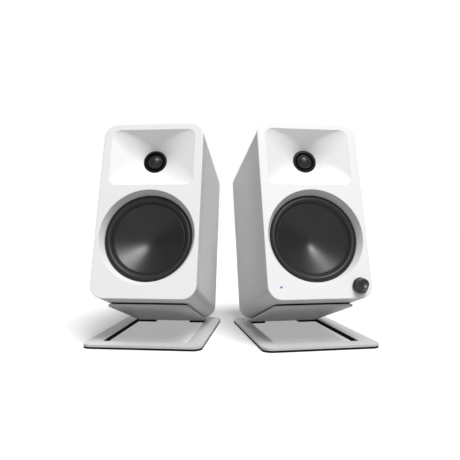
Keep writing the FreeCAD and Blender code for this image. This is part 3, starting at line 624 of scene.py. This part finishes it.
def make_baffle(speaker):
    """The moulded front: face, waveguide, woofer flare, rounded edge and the skirt to the seam."""
    mesh = Mesh()
    edge, seam_edge, skirt, slab = 0.9, 0.3, 4.0, 18.0
    path = round_over(0, edge, 6)
    path += [(0, speaker.baffle_back - seam_edge), (seam_edge, speaker.baffle_back)]
    path += [(skirt, speaker.baffle_back), (skirt, slab)]
    outer = speaker.shell(mesh, path)
    up = speaker.woofer_up
    seat_half, seat_depth, bowl = 43.2, 10.0, 42.75
    flare = soften([(0, 47.0, 0), (0, 46.2, 0.3), (0.7, 45.85, 0)], False, 3)[1:]
    flare += bezier((0.7, 45.85), (4.4, 44.0), (7.6, bowl))[1:] + [(seat_depth, bowl)]
    woofer = mesh.turn(flare, 0, up, 144)
    seat_outline = rectangle_at(0, up, seat_half, seat_half, 9.0)(0)
    seat = [mesh.flat_ring(seat_outline, depth) for depth in (seat_depth, slab)]
    mesh.loft(seat)
    mesh.fill(woofer[-1], seat[0])
    mouth, bore = funnel(mesh, speaker, slab)
    fronts = [outer[0], woofer[0], mouth]
    backs = [outer[-1], seat[-1], bore]
    if speaker.side == "right":
        knob = speaker.middle("volume_knob")
        for across, radius in ((knob.x, 3.9), (-knob.x, 1.0)):
            profile = [(0, radius + 0.25), (0.08, radius + 0.08), (0.25, radius), (slab, radius)]
            hole = mesh.turn(profile, across, knob.z, 48)
            fronts.append(hole[0])
            backs.append(hole[-1])
    mesh.fill(*fronts)
    mesh.fill(*backs)
    speaker.piece("front_baffle", mesh, "baffle", "white_baffle")


def make_cabinet(speaker):
    """The laminated box with its rounded long edges and the recess for the rear panel."""
    mesh = Mesh()
    wall, edge, seam_edge, panel_thick, ledge, clearance = 6.0, 1.2, 0.3, 2.5, 6.0, 0.15
    back = speaker.back
    front = speaker.cabinet_front
    low, high = speaker.panel_low, speaker.panel_high

    def window(inset, radius):
        gap = clearance - inset
        return rectangle(low.x - gap, high.x + gap, low.z - gap, high.z + gap, radius, 8)

    outer_path = [(wall, front), (seam_edge, front), (0, front + seam_edge)]
    outer_path += [(i, back - d) for i, d in reversed(round_over(0, edge, 6))]
    outer = speaker.shell(mesh, outer_path)
    recess = [
        mesh.flat_ring(window(-spare, PANEL_CORNER + spare), depth)
        for spare, depth in ((0.3, back), (0.0, back - 0.3), (0.0, back - panel_thick))
    ]
    mesh.loft(recess)
    opening = [mesh.flat_ring(window(ledge, 2.0), depth) for depth in (back - panel_thick, back - wall)]
    mesh.loft(opening)
    mesh.fill(outer[-1], recess[0])
    mesh.fill(recess[-1], opening[0])
    inner = mesh.flat_ring(speaker.outline(wall), back - wall)
    mesh.bridge(outer[0], inner)
    mesh.fill(inner, opening[-1])
    speaker.piece("cabinet", mesh, "cabinet", "white_cabinet")


def rib(mesh, outline, depth):
    """A low raised rib that follows an outline on the rear panel."""
    high, half = 0.45, 0.5
    foot = depth - 0.3
    top = depth + high
    path = soften([(half, foot, 0), (half, top, 0.3), (-half, top, 0.3), (-half, foot, 0)], False, 3)
    mesh.loft([mesh.flat_ring(outline(inset), d) for inset, d in path], closed=True)


def make_rear_panel(speaker):
    """Powder-coated panel with its cut-outs, and ribs round the connectors."""
    mesh = Mesh()
    low, high = speaker.panel_low, speaker.panel_high
    middle, half = (low + high) / 2, (high - low) / 2
    posts = speaker.middle("terminal_posts").z
    holes = [circle_at(0, speaker.port_up, 14.8, 96)]
    holes += [circle_at(across, posts, 3.1) for across in (-POST_ACROSS, POST_ACROSS)]
    holes += [circle_at(across, up, 1.4, 24) for across, up in speaker.screw_spots]
    frames = [rectangle_at(0, posts, 21, 11, 4)]
    if speaker.side == "right":
        phono = speaker.middle("phono_sockets").z
        inlet = speaker.middle("power_inlet")
        data = speaker.middle("data_socket")
        holes += [circle_at(across, phono, 4.35) for across in (-PHONO_ACROSS, PHONO_ACROSS)]
        holes.append(circle_at(inlet.x, inlet.z, 4.95))
        holes.append(rectangle_at(data.x, data.z, 4.8, 2.0, 1.5, 6))
        frames.append(rectangle_at(0, phono, 21, 9, 4))
        frames.append(circle_at(inlet.x, inlet.z, 7.6, 64))
        frames.append(rectangle_at(data.x, data.z, 8, 5, 3))
    outline = rectangle_at(middle.x, middle.z, half.x, half.z, PANEL_CORNER, 8)
    mesh.plate(outline, low.y, high.y - low.y, 0.35, holes)
    for shape in frames:
        rib(mesh, shape, high.y)
    speaker.piece("rear_panel", mesh, "panel", "black_panel")


def make_bass_port(speaker):
    mesh = Mesh()
    back = speaker.back
    front = speaker.box("bass_port")[0].y
    bore, tube, mouth = 13.0, 14.6, 15.4
    profile = [(front, bore), (back - 12, bore)]
    profile += bezier((back - 12, bore), (back - 2.5, bore), (back + 1.3, mouth), 12)[1:]
    lip = [(back + 1.3, mouth, 0), (back + 1.6, 16.6, 0.6), (back + 1.2, 18.4, 0.7), (back, 19.1, 0.2)]
    profile += soften(lip + [(back, tube, 0), (front, tube, 0)], False)[1:]
    mesh.turn(profile, 0, speaker.port_up, 120, closed=True)
    speaker.piece("bass_port", mesh, "moulded", "black_plastic")


def socket_screw(mesh, across, up, depth, head, high, shank, shank_end):
    """A button-head screw with a hexagon socket, whose head points back."""
    socket = head * 0.48
    dome = [(depth + high * (1 - share**2.2), head * share) for share in (0.62, 0.75, 0.88, 0.96, 1.0)]
    floor_depth = depth + high * 0.35
    profile = [(floor_depth, 0), (floor_depth, head * 0.47), (dome[0][0] + 0.02, socket)] + dome
    profile += [(depth - 0.02, head), (depth, shank), (shank_end, shank), (shank_end, 0)]

    def ripple(depth, radius, angle):
        if radius >= head * 0.5:
            return radius
        return radius * cos(pi / 6) / cos(angle % (pi / 3) - pi / 6)

    mesh.turn(profile, across, up, 48, ripple=ripple)


def make_screws(speaker):
    mesh = Mesh()
    back = speaker.back
    for across, up in speaker.screw_spots:
        socket_screw(mesh, across, up, back, 2.4, 1.3, 1.2, back - 10)
    speaker.piece("panel_screws", mesh, "black_zinc", "black_steel")
    mesh = Mesh()
    low, high = speaker.box("woofer_screws")
    head, head_high = 3.0, 2.2
    for across in (low.x + head, high.x - head):
        for up in (low.z + head, high.z - head):
            socket_screw(mesh, across, up, high.y - head_high, head, head_high, 1.4, low.y)
    speaker.piece("woofer_screws", mesh, "zinc", "plated_steel")


# ---------- drive units


def cone_depth(speaker, radius):
    """Depth of the cone's face: nearly straight, with a broad rounded middle."""
    thick, soft = 1.2, 6.5
    deepest = speaker.cone_back - thick
    slope = sqrt((deepest - speaker.cone_front + soft) ** 2 - soft**2) / speaker.cone_radius
    return deepest + soft - hypot(slope * radius, soft)


def make_cone(speaker):
    """Smooth concave cone with a turned-over rim and no dust cap."""
    mesh = Mesh()
    rim = speaker.cone_radius
    count = 30
    radii = [(rim - 0.7) * (step / count) ** 1.15 for step in range(count + 1)]
    front = [(cone_depth(speaker, radius), radius) for radius in radii]
    edge = front[-1][0]
    rolled = [(edge - 0.28, rim - 0.42), (edge - 0.30, rim - 0.16), (edge - 0.05, rim), (edge + 0.9, rim)]
    back = [(depth + 1.1, radius) for depth, radius in reversed(front)]
    mesh.turn(front + rolled + back, 0, speaker.woofer_up, 144)
    speaker.piece("woofer_cone", mesh, "cone", "cone", "cone", sharp=50)


def make_surround(speaker):
    """A rubber half-roll in two halves: the outer stays with the speaker, the inner meets the cone's rim."""
    crest, crest_radius, thick = 6.8, 38.8, 0.8
    top, bottom = (crest, crest_radius), (crest + thick, crest_radius)
    up = speaker.woofer_up
    outer = Mesh()
    face = bezier(top, (crest, 41.0), (7.9, 41.5), 12)
    under = [(8.8, 41.5), (8.8, 40.7)] + bezier((8.2, 40.4), (7.0, 40.0), bottom, 8)
    outer.turn(face + under, 0, up, 144, closed=True)
    name = "surround_outer_roll"
    speaker.piece(name, outer, "rubber", "surround_rubber", replaces="woofer_surround", sharp=60)
    inner = Mesh()
    rim = speaker.cone_radius + 0.03
    foot = speaker.cone_front + 0.3
    face = bezier(top, (crest + 0.1, 37.3), (foot - 0.6, 35.6), 12)
    tuck = [(foot - 0.6, 35.6, 0), (foot, 35.3, 0.25), (foot, 34.75, 0.3), (foot - 0.4, rim, 0)]
    face += soften(tuck, False, 4)[1:]
    under = [(foot + 0.3, rim), (foot + 0.75, 35.0), (foot + 0.7, 36.6)]
    under += bezier((foot - 0.2, 37.2), (crest + thick + 0.3, 37.8), bottom, 8)
    inner.turn(face + under, 0, up, 144, closed=True)
    place = speaker.place
    piece = make_piece(f"{speaker.side}_surround_inner_roll", inner, place, "rubber", 60)
    start, end = (tuple(place.matrix @ Vector((0, depth, 0))) for depth in (crest + 0.2, foot - 0.6))
    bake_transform(piece)
    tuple(start)
    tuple(end)


def make_basket(speaker):
    """Front ring, square flange and the pressed body down to the motor."""
    mesh = Mesh()
    up = speaker.woofer_up
    flange, motor, seat = 10.0, 33.0, 8.85
    profile = soften(
        [
            (seat, 41.55, 0.1), (7.3, 41.6, 0.25), (7.3, 42.1, 0.25), (flange + 3.0, 42.15, 0),
            (flange + 3.0, 38.6, 0.6), (motor, 26.0, 0.4), (motor, 24.0, 0.3),
            (flange + 4.5, 37.0, 0.6), (flange + 1.0, 38.8, 0.3), (seat, 39.6, 0.2),
        ],
        steps=4,
    )
    mesh.turn(profile, 0, up, 144, closed=True)
    half, spot = 42.0, 36.0
    holes = [circle_at(0, up, 39.0, 144)]
    holes += [circle_at(across, up + rise, 1.7, 24) for across in (-spot, spot) for rise in (-spot, spot)]
    mesh.plate(rectangle_at(0, up, half, half, 9), flange, 3.0, 0.3, holes)
    speaker.piece("woofer_basket", mesh, "woofer_frame", "driver_frame")


def make_tweeter(speaker):
    """Faceplate with a raised ring round its bore, and a coated dome with a rolled edge."""
    up = speaker.tweeter_up
    front = 13.6
    plate = Mesh()
    bore, ring, flange, back = 7.7, 11.65, 17.0, 20.0
    profile = [
        (front + 2.0, bore, 0), (front + 1.8, 8.2, 0.2), (front + 0.5, 8.9, 0.3),
        (front - 0.1, 9.2, 0.15), (front - 0.4, 9.4, 0.12), (front - 0.4, 9.7, 0.12),
        (front - 0.05, 9.95, 0.15), (front, 10.9, 0.4), (front + 0.5, 11.6, 0.5),
        (front + 4.0, ring, 0), (back - 2.0, ring, 0), (back - 2.0, flange, 0), (back, flange, 0),
        (back, bore, 0),
    ]
    plate.turn(soften(profile), 0, up, 96, closed=True)
    speaker.piece("tweeter_faceplate", plate, "tweeter_frame", "driver_frame")
    dome = Mesh()
    rise, radius = 3.2, 6.5
    count = 16
    sphere = (radius**2 + rise**2) / (2 * rise)
    top = front + sphere - rise
    radii = [radius * step / count for step in range(count + 1)]
    face = [(top - sqrt(sphere**2 - r**2), r) for r in radii]
    edge = face[-1][0]
    roll = [(edge - 0.12, 6.7), (edge - 0.16, 6.95), (edge + 0.05, 7.25), (edge + 0.7, 7.4)]
    back = [(19.0, 7.4), (19.0, 6.7), (edge + 1.0, 6.6)]
    back += [(depth + 0.8, r * 0.94) for depth, r in reversed(face[:-1])]
    dome.turn(face + roll + back, 0, up, 96)
    speaker.piece("tweeter_dome", dome, "dome", "dome", "dome", sharp=60)


# ---------- terminals and controls


def make_terminals(speaker):
    """Threaded binding posts and their fluted caps."""
    back = speaker.back
    up = speaker.middle("terminal_posts").z
    posts = Mesh()
    core, crown, hollow, pitch, turns = 2.45, 2.7, 2.0, 0.7, 17
    collar = [(back, 5.6, 0), (back + 1.6, 5.6, 0.4), (back + 1.6, crown, 0)]
    tip = [(back + 14.6, 2.6, 0), (back + 15, 2.55, 0.2), (back + 15, hollow, 0.15), (back + 2, hollow, 0)]
    for across in (-POST_ACROSS, POST_ACROSS):
        profile = [(back - 20, 0), (back - 20, crown), (back, crown)] + soften(collar, False, 4)
        for turn in range(turns):
            valley = back + 2.2 + pitch * turn
            profile += [(valley, core), (valley + pitch * 0.5, crown)]
        profile += soften(tip, False, 3) + [(back + 2, 0)]
        posts.turn(profile, across, up, 48)
    speaker.piece("terminal_posts", posts, "gold", "gold_plate")
    flutes, flute_deep = 18, 0.42

    def flute(depth, radius, angle):
        if radius < 4.6 or not back + 3.4 < depth < back + 12.4:
            return radius
        return radius - flute_deep * (0.5 + 0.5 * cos(flutes * angle)) ** 2

    profile = soften(
        [
            (back + 2.2, 3.0, 0), (back + 2.2, 5.2, 0.35), (back + 3.3, 5.2, 0), (back + 3.5, 5.18, 0),
            (back + 12.3, 5.18, 0), (back + 12.5, 5.2, 0), (back + 13.5, 5.2, 0.5),
            (back + 14.5, 4.4, 0.4), (back + 14.5, 3.0, 0.2),
        ],
        steps=4,
    )
    for colour, across, material, slot in (
        ("red", -POST_ACROSS, "gloss_red", "red_plastic"),
        ("black", POST_ACROSS, "gloss_black", "black_gloss_plastic"),
    ):
        cap = Mesh()
        cap.turn(profile, across, up, 144, closed=True, ripple=flute)
        speaker.piece(f"{colour}_post_cap", cap, material, slot, f"{colour}_cap")


def make_sockets(speaker):
    """Phono sockets with coloured inserts, the power inlet and the data socket."""
    back = speaker.back
    up = speaker.middle("phono_sockets").z
    phono = Mesh()
    sleeve, flange, barrel = 3.75, 4.6, 4.15
    profile = [(back - 12, 0), (back - 12, sleeve), (back, sleeve)]
    profile += soften([(back, flange, 0), (back + 0.9, flange, 0.3), (back + 0.9, barrel, 0)], False, 3)
    profile += soften([(back + 2.0, barrel, 0), (back + 8, barrel, 0.35), (back + 8, 3.3, 0.2)], False, 3)
    profile += [(back + 7.6, 3.2)]
    inner = [(back + 7.6, 3.2), (back + 7.4, 3.0), (back + 7.4, 1.8), (back + 7.2, 1.7)]
    inner += [(back - 3, 1.7), (back - 3, 0)]
    for across, insert in ((-PHONO_ACROSS, 1), (PHONO_ACROSS, 2)):
        phono.slot = 0
        phono.turn(profile, across, up, 60)
        phono.slot = insert
        phono.turn(inner, across, up, 60)
    speaker.piece("phono_sockets", phono, "gold white_insert gloss_red", "gold_plate")
    spot = speaker.middle("power_inlet")
    inlet = Mesh()
    rim, bore, pin_radius, floor_depth = 4.75, 2.75, 1.0, back - 9
    walls = [(back - 2, rim, 0), (back + 1, rim, 0.5), (back + 1, bore, 0.3), (floor_depth, bore, 0)]
    profile = [(back - 12, 0), (back - 12, rim)] + soften(walls, False, 4)
    inlet.turn(profile, spot.x, spot.z, 60)
    inlet.slot = 1
    pin = [(floor_depth, bore, 0), (floor_depth, pin_radius, 0.2)]
    pin += [(back - 1, pin_radius, 0.4), (back - 1, 0, 0)]
    inlet.turn(soften(pin, False, 4), spot.x, spot.z, 60)
    speaker.piece("power_inlet", inlet, "moulded zinc", "black_plastic")
    spot = speaker.middle("data_socket")
    data = Mesh()

    def oval(grow):
        return rectangle_at(spot.x, spot.z, 4.6 + grow, 1.7 + grow, 1.6 + grow, 8)(0)

    walls = [(0, back - 10), (0, back + 0.05), (-0.15, back + 0.2), (-0.35, back + 0.2)]
    walls += [(-0.42, back), (-0.42, back - 7)]
    rings = [data.flat_ring(oval(grow), depth) for grow, depth in walls]
    data.loft(rings)
    data.fill(rings[0])
    data.fill(rings[-1])
    data.slot = 1
    data.plate(rectangle_at(spot.x, spot.z, 3.1, 0.35, 0.3, 4), back - 7.2, 6.4, 0.1)
    speaker.piece("data_socket", data, "zinc moulded", "plated_steel")


def make_controls(speaker):
    """The volume knob, with its thin skirt and dished end, and the status light's lens."""
    low, high = speaker.box("volume_knob")
    spot = speaker.middle("volume_knob")
    base, end = low.y, high.y
    radius = (high.x - low.x) / 2
    knob = Mesh()
    taper, bore = 2.6, 3.0
    tip = radius - taper
    profile = soften(
        [
            (end, bore, 0), (end, radius - 0.3, 0.3), (end - 0.5, radius, 0.5),
            (end - 1.7, radius, 0.6), (end - 2.6, radius - 1.3, 0.9), (base + 1.0, tip + 0.15, 1.4),
            (base, tip - 0.2, 0.5), (base, tip - 0.9, 0.15), (base + 0.1, tip - 1.0, 0),
        ],
        closed=False,
        steps=6,
    )
    dish = tip - 1.0
    profile += [(base + 1.0 - 0.9 * share**2, dish * share) for share in (0.9, 0.75, 0.6, 0.4, 0.2, 0)]
    knob.turn(profile, spot.x, spot.z, 96)
    knob.turn([(base + bore, 0), (base + bore, bore), (end, bore)], spot.x, spot.z, 96)
    speaker.piece("volume_knob", knob, "knob", "knob_black", "knob")
    lens = Mesh()
    low, high = speaker.box("status_light")
    front, rim = low.y, 0.9
    profile = [(front, 0), (front + 0.02, 0.45), (front + 0.1, 0.72), (front + 0.28, rim)]
    profile += [(high.y, rim), (high.y, 0)]
    lens.turn(profile, (low.x + high.x) / 2, spot.z, 32)
    speaker.piece("status_light", lens, "light", "blue_light")


# ---------- stand


FOAM_AND_SHADOW_RISE = 0.4  # mm, how much thicker the base's foam is drawn under the sheet's edge than in CAD; the extra black is partly painted contact shadow
STAND_THICK = 2.5
PLATE_HALF = 38.9  # mm, half the width of the tilted plate
SLOT_HALF = PLATE_HALF + 1.2  # mm, half the width of the cut-out it was bent from
CUT_FRONT, CUT_BEND = 16.6, 138.8  # mm, from the sheet's front edge to the cut-out and to the bend


def make_stand_sheet(speaker):
    """One sheet of steel: a frame on the desk and a plate bent up out of it."""
    side = speaker.side
    place = speaker.stand
    low, high = place.box(f"{side}_stand_sheet")
    top = low.z + STAND_THICK
    tilt = asin(-speaker.place.axes[1].z)
    sheet_corner, plate_corner, curve, length = 9.0, 4.0, 7.0, 119.0
    tangent = curve * tan(tilt / 2)
    start = CUT_BEND + STAND_THICK * tan(tilt / 2) + tangent
    mesh = Mesh()
    outer = mesh.level_ring(rectangle(-high.x, high.x, 0, high.y, sheet_corner, 12), top)
    hole = [(PLATE_HALF, start, 0), (SLOT_HALF, start, 0.5), (SLOT_HALF, CUT_FRONT, 1.2)]
    inner = mesh.level_ring(soften(hole + mirrored(hole)), top)
    mesh.fill(outer, inner)
    last = (inner[0], inner[-1])
    rows = 6
    for row in range(1, rows + 1):
        angle = tilt * row / rows
        back = start - curve * sin(angle)
        up = top + curve * (1 - cos(angle))
        made = mesh.level_ring([(PLATE_HALF, back), (-PLATE_HALF, back)], up)
        mesh.face((last[0], last[1], made[1], made[0]))
        last = made
    reach = length - (curve * tilt - tangent) - 0.6
    corners = [(PLATE_HALF, 0.0, 0), (PLATE_HALF, reach, plate_corner)]
    corners += [(-PLATE_HALF, reach, plate_corner), (-PLATE_HALF, 0.0, 0)]
    tongue = []
    for across, out in soften(corners, steps=8):
        if out == 0.0:
            tongue.append(last[0] if across > 0 else last[1])
        else:
            spot = (across, back - out * cos(tilt), up + out * sin(tilt))
            tongue += mesh.ring([spot])
    mesh.fill(tongue)
    bmesh.ops.remove_doubles(mesh.bm, verts=mesh.bm.verts, dist=1e-4)
    piece = sheet_piece(f"{side}_stand_sheet", mesh, place, STAND_THICK - FOAM_AND_SHADOW_RISE, 0.4, "steel_paint")
    # Painted shade: the steel's cut edges round the cut-out are given the black foam material below, so
    # these walls read as dark, shaded walls.
    piece.data.materials.append(MATERIALS["foam"])
    to_place = place.matrix.inverted()
    near = 0.7
    for face in piece.data.polygons:
        spot = to_place @ face.center
        across = abs(spot.x)
        in_slot = across < SLOT_HALF + near and CUT_FRONT - near < spot.y < CUT_BEND and spot.z < top
        beside_plate = across > PLATE_HALF + 0.5 or spot.y < CUT_FRONT + near
        if in_slot and beside_plate and abs(face.normal.z) < 0.4:
            face.material_index = 1  # painted shade: the steel's own cut edge gets the black foam material


def sheet_piece(name, mesh, place, thick, edge, material):
    """Gives a flat or folded skin its thickness downwards, and rounds its edges."""
    for face in mesh.bm.faces:
        face.normal_update()
        if face.normal.z < 0:
            face.normal_flip()
    mesh.bm.transform(place.matrix)
    piece = add_mesh(name, mesh.bm)
    piece.data.materials.append(MATERIALS[material])
    solid = piece.modifiers.new("thickness", "SOLIDIFY")
    solid.thickness = thick * MM
    solid.use_even_offset = True
    bevel = piece.modifiers.new("edges", "BEVEL")
    bevel.width = edge * MM
    bevel.segments = 3
    bevel.limit_method = "ANGLE"
    bevel.angle_limit = radians(50)
    bevel.harden_normals = True
    made = piece.evaluated_get(bpy.context.evaluated_depsgraph_get())
    final = bpy.data.meshes.new_from_object(made)
    piece.modifiers.clear()
    skin = piece.data
    piece.data = final
    bpy.data.meshes.remove(skin)
    final.name = name
    finish_mesh(piece, 38)
    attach(piece, "stands")
    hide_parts(name)
    return piece


def foam_pad(name, place, outline, top, low):
    mesh = Mesh()
    mesh.fill(mesh.level_ring(outline, top))
    piece = sheet_piece(name, mesh, place, top - low, 0.2, "foam")


def make_pads(speaker):
    """Foam under the base, open in the middle and behind the bend, and foam on the tilted plate."""
    side = speaker.side
    low, high = speaker.stand.box(f"{side}_base_pad")
    corner, hole_corner, flush, gap = 8.9, 1.2, 1.1, 20.0
    across, back, front = high.x + flush, high.y + flush, low.y - flush
    outside = [(gap, back, 0.4), (across, back, corner), (across, front, corner)]
    hole = [(-gap, CUT_BEND, 0.4), (-SLOT_HALF, CUT_BEND, hole_corner), (-SLOT_HALF, CUT_FRONT, hole_corner)]
    outline = outside + mirrored(outside) + hole + mirrored(hole)
    # The foam is drawn taller than in CAD; part of its black band at the sheet's edge is painted contact
    # shadow.
    foam_pad(f"{side}_base_pad", speaker.stand, soften(outline, steps=6), high.z + FOAM_AND_SHADOW_RISE, low.z)
    low, high = speaker.box("plate_pad")
    outline = rectangle(low.x, high.x, low.y, high.y, 4.0, 8)
    foam_pad(f"{side}_plate_pad", speaker.place, outline, -0.02, low.z)


# ---------- CAD nodes that stay


STAYING = {
    "copper": ("voice_coil", "crossover_coil"),
    "spider": ("woofer_spider",),
    "zinc": ("woofer_top_plate", "woofer_yoke", "knob_shaft", "knob_encoder"),
    "ferrite": ("woofer_magnet", "tweeter_motor"),
    "wadding": ("acoustic_wadding",),
    "board": ("crossover_board", "amplifier_board"),
    "heat_sink": ("heat_sink",),
    "moulded": ("knob_plunger",),
}


def dress_inner_nodes():
    for material, kinds in STAYING.items():
        for name, node in frame["nodes"].items():
            if name.split("_", 1)[1] in kinds:
                node.data.materials.clear()
                node.data.materials.append(MATERIALS[material])


# ---------- stage


STAGE = 9.0  # m, the half size of the floor and the radius of the surround
SKY = 0.275
LENS = 40.67
CAMERA_SPOT = (-0.00115, -0.5567, 0.1117)
CAMERA_DROP = 0.43  # degrees below level
FLOORS = (  # name, height in m, grey level, glow, and the rays that see it
    ("floor", 0.0, 0.75, 0.355, ("camera", "glossy", "shadow")),
    ("floor_bounce", 0.00002, 0.21, 0.0, ("diffuse",)),
)
LIGHTS = (  # name, azimuth, elevation, level, spread in degrees, and whether it lights matt surfaces
    ("high_key", 28, 67, 0.83, 25, True),
    ("low_key", 25, 50, 0.25, 25, True),
    ("front_fill", 0, 20, 0.17, 60, True),
    ("rear_fill", 200, 35, 0.12, 60, True),
    ("glint", 28, 56, 0.22, 10, False),
)


def stage_piece(name, mesh, colour, glow, rays):
    """A piece of the stage, seen only by the kinds of ray that are named."""
    piece = add_mesh(name, mesh)
    n = Nodes(f"stage_{name}")
    n.feed(n.shader.inputs["Emission Color"], grey(1.0))
    shade = n.mottled(n.noise(n.place(), 40.0, 2.0), grey(colour), 0.01)
    piece.data.materials.append(
        n.set(Base_Color=shade, Roughness=0.9, Specular_IOR_Level=0.0, Emission_Strength=glow)
    )
    for kind in ("camera", "diffuse", "glossy", "transmission", "volume_scatter", "shadow"):
        setattr(piece, f"visible_{kind}", kind in rays)
    return piece


def make_stage():
    """A white floor, a darker one that throws light back on the object, and a white surround."""
    for name, height, colour, glow, rays in FLOORS:
        mesh = bmesh.new()
        bmesh.ops.create_grid(mesh, x_segments=1, y_segments=1, size=STAGE)
        stage_piece(name, mesh, colour, glow, rays).location.z = height
    mesh = bmesh.new()
    bmesh.ops.create_uvsphere(mesh, u_segments=48, v_segments=24, radius=STAGE)
    stage_piece("surround", mesh, 0.0, 1.0, ("camera",))


def add_sun(name, azimuth, elevation, level, spread, diffuse):
    """A soft distant light; azimuth is to the right of the front, in degrees."""
    data = bpy.data.lights.new(name, "SUN")
    data.energy = level * pi
    data.angle = radians(spread)
    light = add_object(name, data)
    turn, rise = radians(azimuth), radians(elevation)
    toward = Vector((sin(turn) * cos(rise), -cos(turn) * cos(rise), sin(rise)))
    light.rotation_euler = (-toward).to_track_quat("-Z", "Y").to_euler()
    light.visible_diffuse = diffuse


def make_lights():
    """Even light from all round, and the lights of the studio."""
    world = bpy.data.worlds.new("studio")
    bpy.context.scene.world = world
    world.use_nodes = True
    background = world.node_tree.nodes["Background"]
    background.inputs["Color"].default_value = grey(1.0)
    background.inputs["Strength"].default_value = SKY
    for light in LIGHTS:
        add_sun(*light)


def make_camera():
    data = bpy.data.cameras.new("camera")
    data.lens = LENS
    data.clip_start = 0.01
    camera = add_object("camera", data)
    camera.location = CAMERA_SPOT
    camera.rotation_euler = (radians(90 - CAMERA_DROP), 0, 0)
    bpy.context.scene.camera = camera


# ---------- the object


def add_driver_materials(speaker):
    """Turned surfaces, whose rings run round each driver's own axis."""
    for name, level, rough, pitch, height, specular, up in (
        ("cone", 0.017, 0.34, 0.45, 0.002, 0.30, speaker.woofer_up),
        ("woofer_frame", 0.015, 0.42, 0.9, 0.003, 0.5, speaker.woofer_up),
        ("tweeter_frame", 0.004, 0.36, 0.5, 0.002, 0.14, speaker.tweeter_up),
    ):
        full_name = f"{speaker.side}_{name}"
        MATERIALS[name] = turned_surface(full_name, grey(level), rough, pitch, height, specular, up)


def make_speaker(side):
    speaker = Speaker(side)
    add_driver_materials(speaker)
    for make in (make_baffle, make_cabinet, make_rear_panel, make_bass_port, make_screws, make_basket):
        make(speaker)
    for make in (make_surround, make_cone, make_tweeter, make_terminals):
        make(speaker)
    if side == "right":
        make_sockets(speaker)
        make_controls(speaker)
    make_stand_sheet(speaker)
    make_pads(speaker)


for side in ("left", "right"):
    make_speaker(side)
dress_inner_nodes()
make_stage()
make_lights()
make_camera()
bpy.context.scene.view_settings.view_transform = "Standard"
